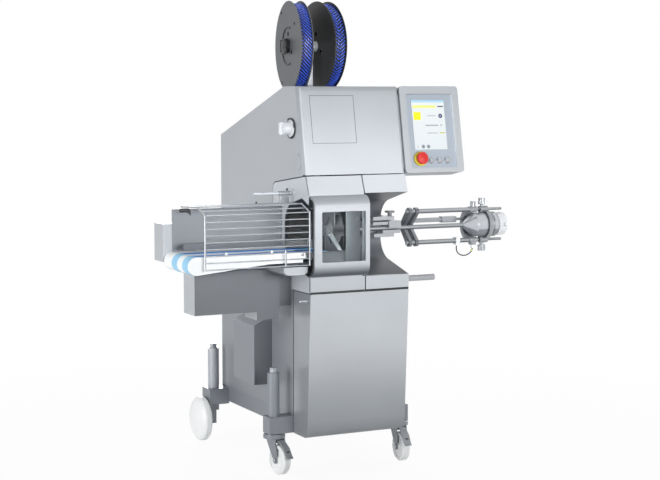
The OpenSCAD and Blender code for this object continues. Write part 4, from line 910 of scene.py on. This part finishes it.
def addButtonRings():
    spec = buttonRings
    rings = []
    for x in spec["places"]:
        ring = ringOf(spec["outer"] * mm, spec["inner"] * mm, spec["proud"] * mm)
        softEdges(ring, spec["edge"] * mm, 3)
        settle(ring, headFacing(x, spec["face"], spec["up"]))
        rings.append(ring)
    finishPiece(joinAll(rings), "buttonRings", "machine", "bright")


addButtonRings()
print("panel trimmed")

# seal on the open left edge of the clip door's hood

doorSeal = {"x": -1.6, "front": -27, "back": 3, "low": 851, "high": 1147, "bend": 23, "steps": 8,
            "thick": 3, "wide": 8}


def addDoorSeal():
    spec = doorSeal
    bends = ((spec["front"] + spec["bend"], spec["low"] + spec["bend"], 270, 180),
             (spec["front"] + spec["bend"], spec["high"] - spec["bend"], 180, 90))
    route = [(spec["back"], spec["low"])]
    for y, z, start, stop in bends:
        for step in range(spec["steps"] + 1):
            turn = math.radians(start + (stop - start) * step / spec["steps"])
            route.append((y + spec["bend"] * math.cos(turn), z + spec["bend"] * math.sin(turn)))
    route.append((spec["back"], spec["high"]))
    clearSelection()
    bpy.ops.curve.primitive_bezier_curve_add()
    seal = bpy.context.object
    seal.data.splines.clear()
    line = seal.data.splines.new("POLY")
    line.points.add(len(route) - 1)
    for knot, (y, z) in zip(line.points, route):
        knot.co = (*spot(spec["x"], y, z), 1)
    seal.data.dimensions = "3D"
    seal.data.twist_mode = "MINIMUM"
    seal.data.bevel_depth = 0.5 * spec["wide"] * mm
    seal.data.bevel_resolution = 2
    seal.data.use_fill_caps = True
    bpy.ops.object.convert(target="MESH")
    seal = bpy.context.object
    editFaces(seal, everyFace)
    bpy.ops.transform.resize(value=(spec["thick"] / spec["wide"], 1, 1),
                             center_override=spot(spec["x"], 0, 0))
    leaveEdit()
    finishPiece(seal, "doorSeal", "clip_door", "seal")


addDoorSeal()
print("door sealed")

# parts seen through the door's window

driveEndPlate = {"x": (44, 160), "y": (2.6, 5.6), "z": (892, 938), "rim": 4, "sunk": 1, "edge": 0.8}
productLever = {"low": (155, 930), "high": (105, 1008), "y": 39, "wide": 18, "thick": 7,
                "rim": 2.5, "sunk": 1.5, "edge": 1.2}
leverPin = {"from": 4, "past": 6, "aside": -4, "above": 2, "radius": 6, "nose": 1.5, "sides": 20}
casingGuide = {"x": (194, 222), "y": (60, 63), "z": (866, 996), "chamfer": 0.8, "edge": 0.7}
# painted shadow: a black sheet standing where the passage behind the window lies in shade
passageShadowSheet = {"x": (4, 126), "y": (226, 229), "z": (968, 1124), "rim": 5, "sunk": 1, "edge": 0.8}
passageWall = {"x": (177, 240), "y": (28, 31), "z": (868, 1126), "lip": 3, "fold": 14, "edge": 1.0}


def addDriveEndPlate():
    plate, place = spanBox(driveEndPlate)
    sinkFront(plate, driveEndPlate)
    settle(plate, place)
    finishPiece(plate, "driveEndPlate", "machine", "shade")


def addProductLever():
    spec = productLever
    (x0, z0), (x1, z1) = spec["low"], spec["high"]
    foot, tip = spot(x0, spec["y"], z0), spot(x1, spec["y"], z1)
    lever = startBox(spec["wide"] * mm, spec["thick"] * mm, (tip - foot).length)
    sinkFront(lever, spec)
    settle(lever, Matrix.Translation((foot + tip) / 2) @ rotation(math.atan2(x1 - x0, z1 - z0), "Y"))
    long = spec["y"] + leverPin["past"] - leverPin["from"]
    pin = startDrum(leverPin["radius"] * mm, long * mm, leverPin["sides"])
    editFaces(pin, looking(0, 0, 1))
    inset(leverPin["nose"] * mm, leverPin["nose"] * mm)
    leaveEdit()
    root = spot(x0 + leverPin["aside"], leverPin["from"], z0 + leverPin["above"])
    settle(pin, facing(root, (0, 1, 0)))
    finishPiece(joinAll([lever, pin]), "productLever", "machine", "bright")


def addCasingGuide():
    guide, place = spanBox(casingGuide)
    editFaces(guide, looking(0, 0, 1))
    inset(casingGuide["chamfer"] * mm, casingGuide["chamfer"] * mm)
    leaveEdit()
    softEdges(guide, casingGuide["edge"] * mm)
    settle(guide, place)
    finishPiece(guide, "casingGuide", "machine", "machined")


# painted shadow: the black sheet in the passage
def addPassageShadowSheet():
    shadowSheet, place = spanBox(passageShadowSheet)
    sinkFront(shadowSheet, passageShadowSheet)
    settle(shadowSheet, place)
    finishPiece(shadowSheet, "passageShadowSheet", "machine", "seal")


def addPassageWall():
    wall, place = spanBox(passageWall)
    editFaces(wall, looking(-1, 0, 0))
    push(-passageWall["lip"] * mm, 0, 0)
    push(0, passageWall["fold"] * mm, 0)
    leaveEdit()
    softEdges(wall, passageWall["edge"] * mm)
    settle(wall, place)
    finishPiece(wall, "passageWall", "machine", "dull")


addDriveEndPlate()
addProductLever()
addCasingGuide()
addPassageShadowSheet()
addPassageWall()
print("window filled")

# seals and lips in the seams of the clip frame, its gusset, and the catch on the back plate

seamStrips = {
    "deckSeal": {"x": (1, 453), "y": (-0.4, 3), "z": (764.5, 769.6), "body": "machine"},
    "splitSeal": {"x": (248.4, 251.2), "y": (-0.4, 3), "z": (771, 834), "body": "machine"},
    "frameLip": {"x": (252, 453), "y": (-0.8, 0.6), "z": (769.6, 773.5), "body": "machine"},
    "doorLip": {"x": (1, 247.5), "y": (-0.8, 0.6), "z": (770.2, 773.5), "body": "clip_door"},
}
stripEdge = 0.5
throatGusset = {"x": -1.6, "thick": 2.2, "corners": ((12, 1168), (78, 1152), (12, 1127)), "edge": 0.6}
plateCatch = {"x": (-458, -424), "y": (259, 264), "z": (1096, 1112), "edge": 1.0,
              "hook": ((7, -5), (3, -9))}  # steps of the hook along x and z


def addSeamStrip(name):
    strip, place = spanBox(seamStrips[name])
    softEdges(strip, stripEdge * mm)
    settle(strip, place)
    finishPiece(strip, name, seamStrips[name]["body"], "seal")


def addThroatGusset():
    spec = throatGusset
    clearSelection()
    bpy.ops.mesh.primitive_circle_add(vertices=3, radius=1, fill_type="NGON")
    gusset = bpy.context.object
    for corner, (y, z) in zip(gusset.data.vertices, spec["corners"]):
        corner.co = spot(spec["x"], y, z)
    applyModifier(gusset, "SOLIDIFY", thickness=spec["thick"] * mm, offset=0)
    softEdges(gusset, spec["edge"] * mm)
    finishPiece(gusset, "throatGusset", "machine", "satin")


def addPlateCatch():
    catch, place = spanBox(plateCatch)
    editFaces(catch, looking(1, 0, 0))
    for along, down in plateCatch["hook"]:
        push(along * mm, 0, down * mm)
    leaveEdit()
    softEdges(catch, plateCatch["edge"] * mm)
    settle(catch, place)
    finishPiece(catch, "plateCatch", "machine", "black")


for name in seamStrips:
    addSeamStrip(name)
addThroatGusset()
addPlateCatch()
print("seams sealed")

# conveyor and infeed fittings

bedBolt = {"place": (-33, 6, 929), "radius": 6.5, "head": 3}
bedPosts = {"x": (-364, -167), "y": 8.5, "foot": 934, "top": 951, "width": 9, "depth": 4.4,
            "rim": 1.2, "rise": 1.5, "edge": 0.8}
clampKnurl = {"x": 895, "y": 138, "axis": 1009, "from": 90.5, "radius": 16.6, "height": 21,
              "count": 30, "wide": 2.0, "proud": 1.1}
thumbKnurl = {"place": (438, 138, 1075.6), "radius": 19.6, "height": 6.8, "count": 26,
              "wide": 2.2, "proud": 1.0}
sensorRing = {"from": (843.5, 893), "to": (846.6, 899.5), "y": 138, "outer": 3.9, "inner": 2.5,
              "sides": 16, "edge": 0.5}


def addBedBolt():
    bolt = socketScrew(bedBolt["radius"] * mm, bedBolt["head"] * mm)
    settle(bolt, facing(spot(*bedBolt["place"]), (0, -1, 0)))
    finishPiece(bolt, "bedBolt", "machine", "machined")


def addBedPosts():
    spec = bedPosts
    posts = []
    for x in spec["x"]:
        post = startBox(spec["width"] * mm, spec["depth"] * mm, (spec["top"] - spec["foot"]) * mm)
        editFaces(post, looking(0, 0, 1))
        inset(spec["rim"] * mm, spec["rise"] * mm)
        leaveEdit()
        softEdges(post, spec["edge"] * mm)
        settle(post, Matrix.Translation(spot(x, spec["y"], (spec["top"] + spec["foot"]) / 2)))
        posts.append(post)
    finishPiece(joinAll(posts), "bedPosts", "machine", "white")


def addClampGrips():
    spec = clampKnurl
    grips = []
    for up in (1, -1):
        grip = ridges(spec)
        settle(grip, facing(spot(spec["x"], spec["y"], spec["axis"] + up * spec["from"]), (0, 0, up)))
        grips.append(grip)
    finishPiece(joinAll(grips), "clampGrips", "machine", "chrome")


def addThumbGrip():
    grip = ridges(thumbKnurl)
    settle(grip, Matrix.Translation(spot(*thumbKnurl["place"])))
    finishPiece(grip, "thumbGrip", "thumb_knob", "shade")


def addSensorRing():
    spec = sensorRing
    (x0, z0), (x1, z1) = spec["from"], spec["to"]
    start, stop = spot(x0, spec["y"], z0), spot(x1, spec["y"], z1)
    band = ringOf(spec["outer"] * mm, spec["inner"] * mm, (stop - start).length, spec["sides"])
    softEdges(band, spec["edge"] * mm)
    settle(band, facing(start, stop - start))
    finishPiece(band, "sensorRing", "machine", "lime")


addBedBolt()
addBedPosts()
addClampGrips()
addThumbGrip()
addSensorRing()
print("conveyor and infeed fitted")

# caster hardware

casters = {"left": {"swivel": (-74, 197), "turn": 8}, "right": {"swivel": (512, 197), "turn": -6}}
axleNut = {"trail": 42, "up": 62.5, "out": 25, "radius": 10.5, "high": 5.4}
swivelRace = {"outer": 44, "inner": 30, "z": 162, "high": 3.2, "sides": 40, "edge": 1.2}
pedalSlot = {"y": -105, "z": 105.4, "long": 15, "wide": 5, "slope": 55.6, "thick": 0.8,
             "rim": 0.9, "sunk": 0.5, "sides": 20}


def casterPlace(side):
    x, y = casters[side]["swivel"]
    return Matrix.Translation(spot(x, y, 0)) @ rotation(math.radians(casters[side]["turn"]), "Z")


def addCasterHardware(side):
    parts = []
    for out in (-1, 1):
        nut = hexBolt(axleNut["radius"] * mm, axleNut["high"] * mm)
        at = (out * axleNut["out"] * mm, -axleNut["trail"] * mm, axleNut["up"] * mm)
        settle(nut, casterPlace(side) @ facing(at, (out, 0, 0)))
        parts.append(nut)
    spec = swivelRace
    race = ringOf(spec["outer"] * mm, spec["inner"] * mm, spec["high"] * mm, spec["sides"])
    softEdges(race, spec["edge"] * mm, 3)
    settle(race, casterPlace(side) @ shift(0, 0, spec["z"]))
    parts.append(race)
    finishPiece(joinAll(parts), side + "CasterHardware", side + "_caster_fork", "bright")


def addPedalSlot(side):
    spec = pedalSlot
    reach = spec["long"] - spec["wide"]
    mark = startDrum(spec["wide"] / 2 * mm, spec["thick"] * mm, spec["sides"])
    editFaces(mark, looking(1, 0, 0, 0.1))
    bpy.ops.transform.translate(value=(reach * mm, 0, 0))
    leaveEdit()
    editFaces(mark, looking(0, 0, 1))
    inset(spec["rim"] * mm)
    push(0, 0, -spec["sunk"] * mm)
    leaveEdit()
    place = casterPlace(side) @ shift(-reach / 2, spec["y"], spec["z"])
    settle(mark, place @ rotation(math.radians(spec["slope"]), "X"))
    finishPiece(mark, side + "PedalSlot", side + "_caster_brake", "black")


for side in ("left", "right"):
    addCasterHardware(side)
    addPedalSlot(side)
print("casters fitted")
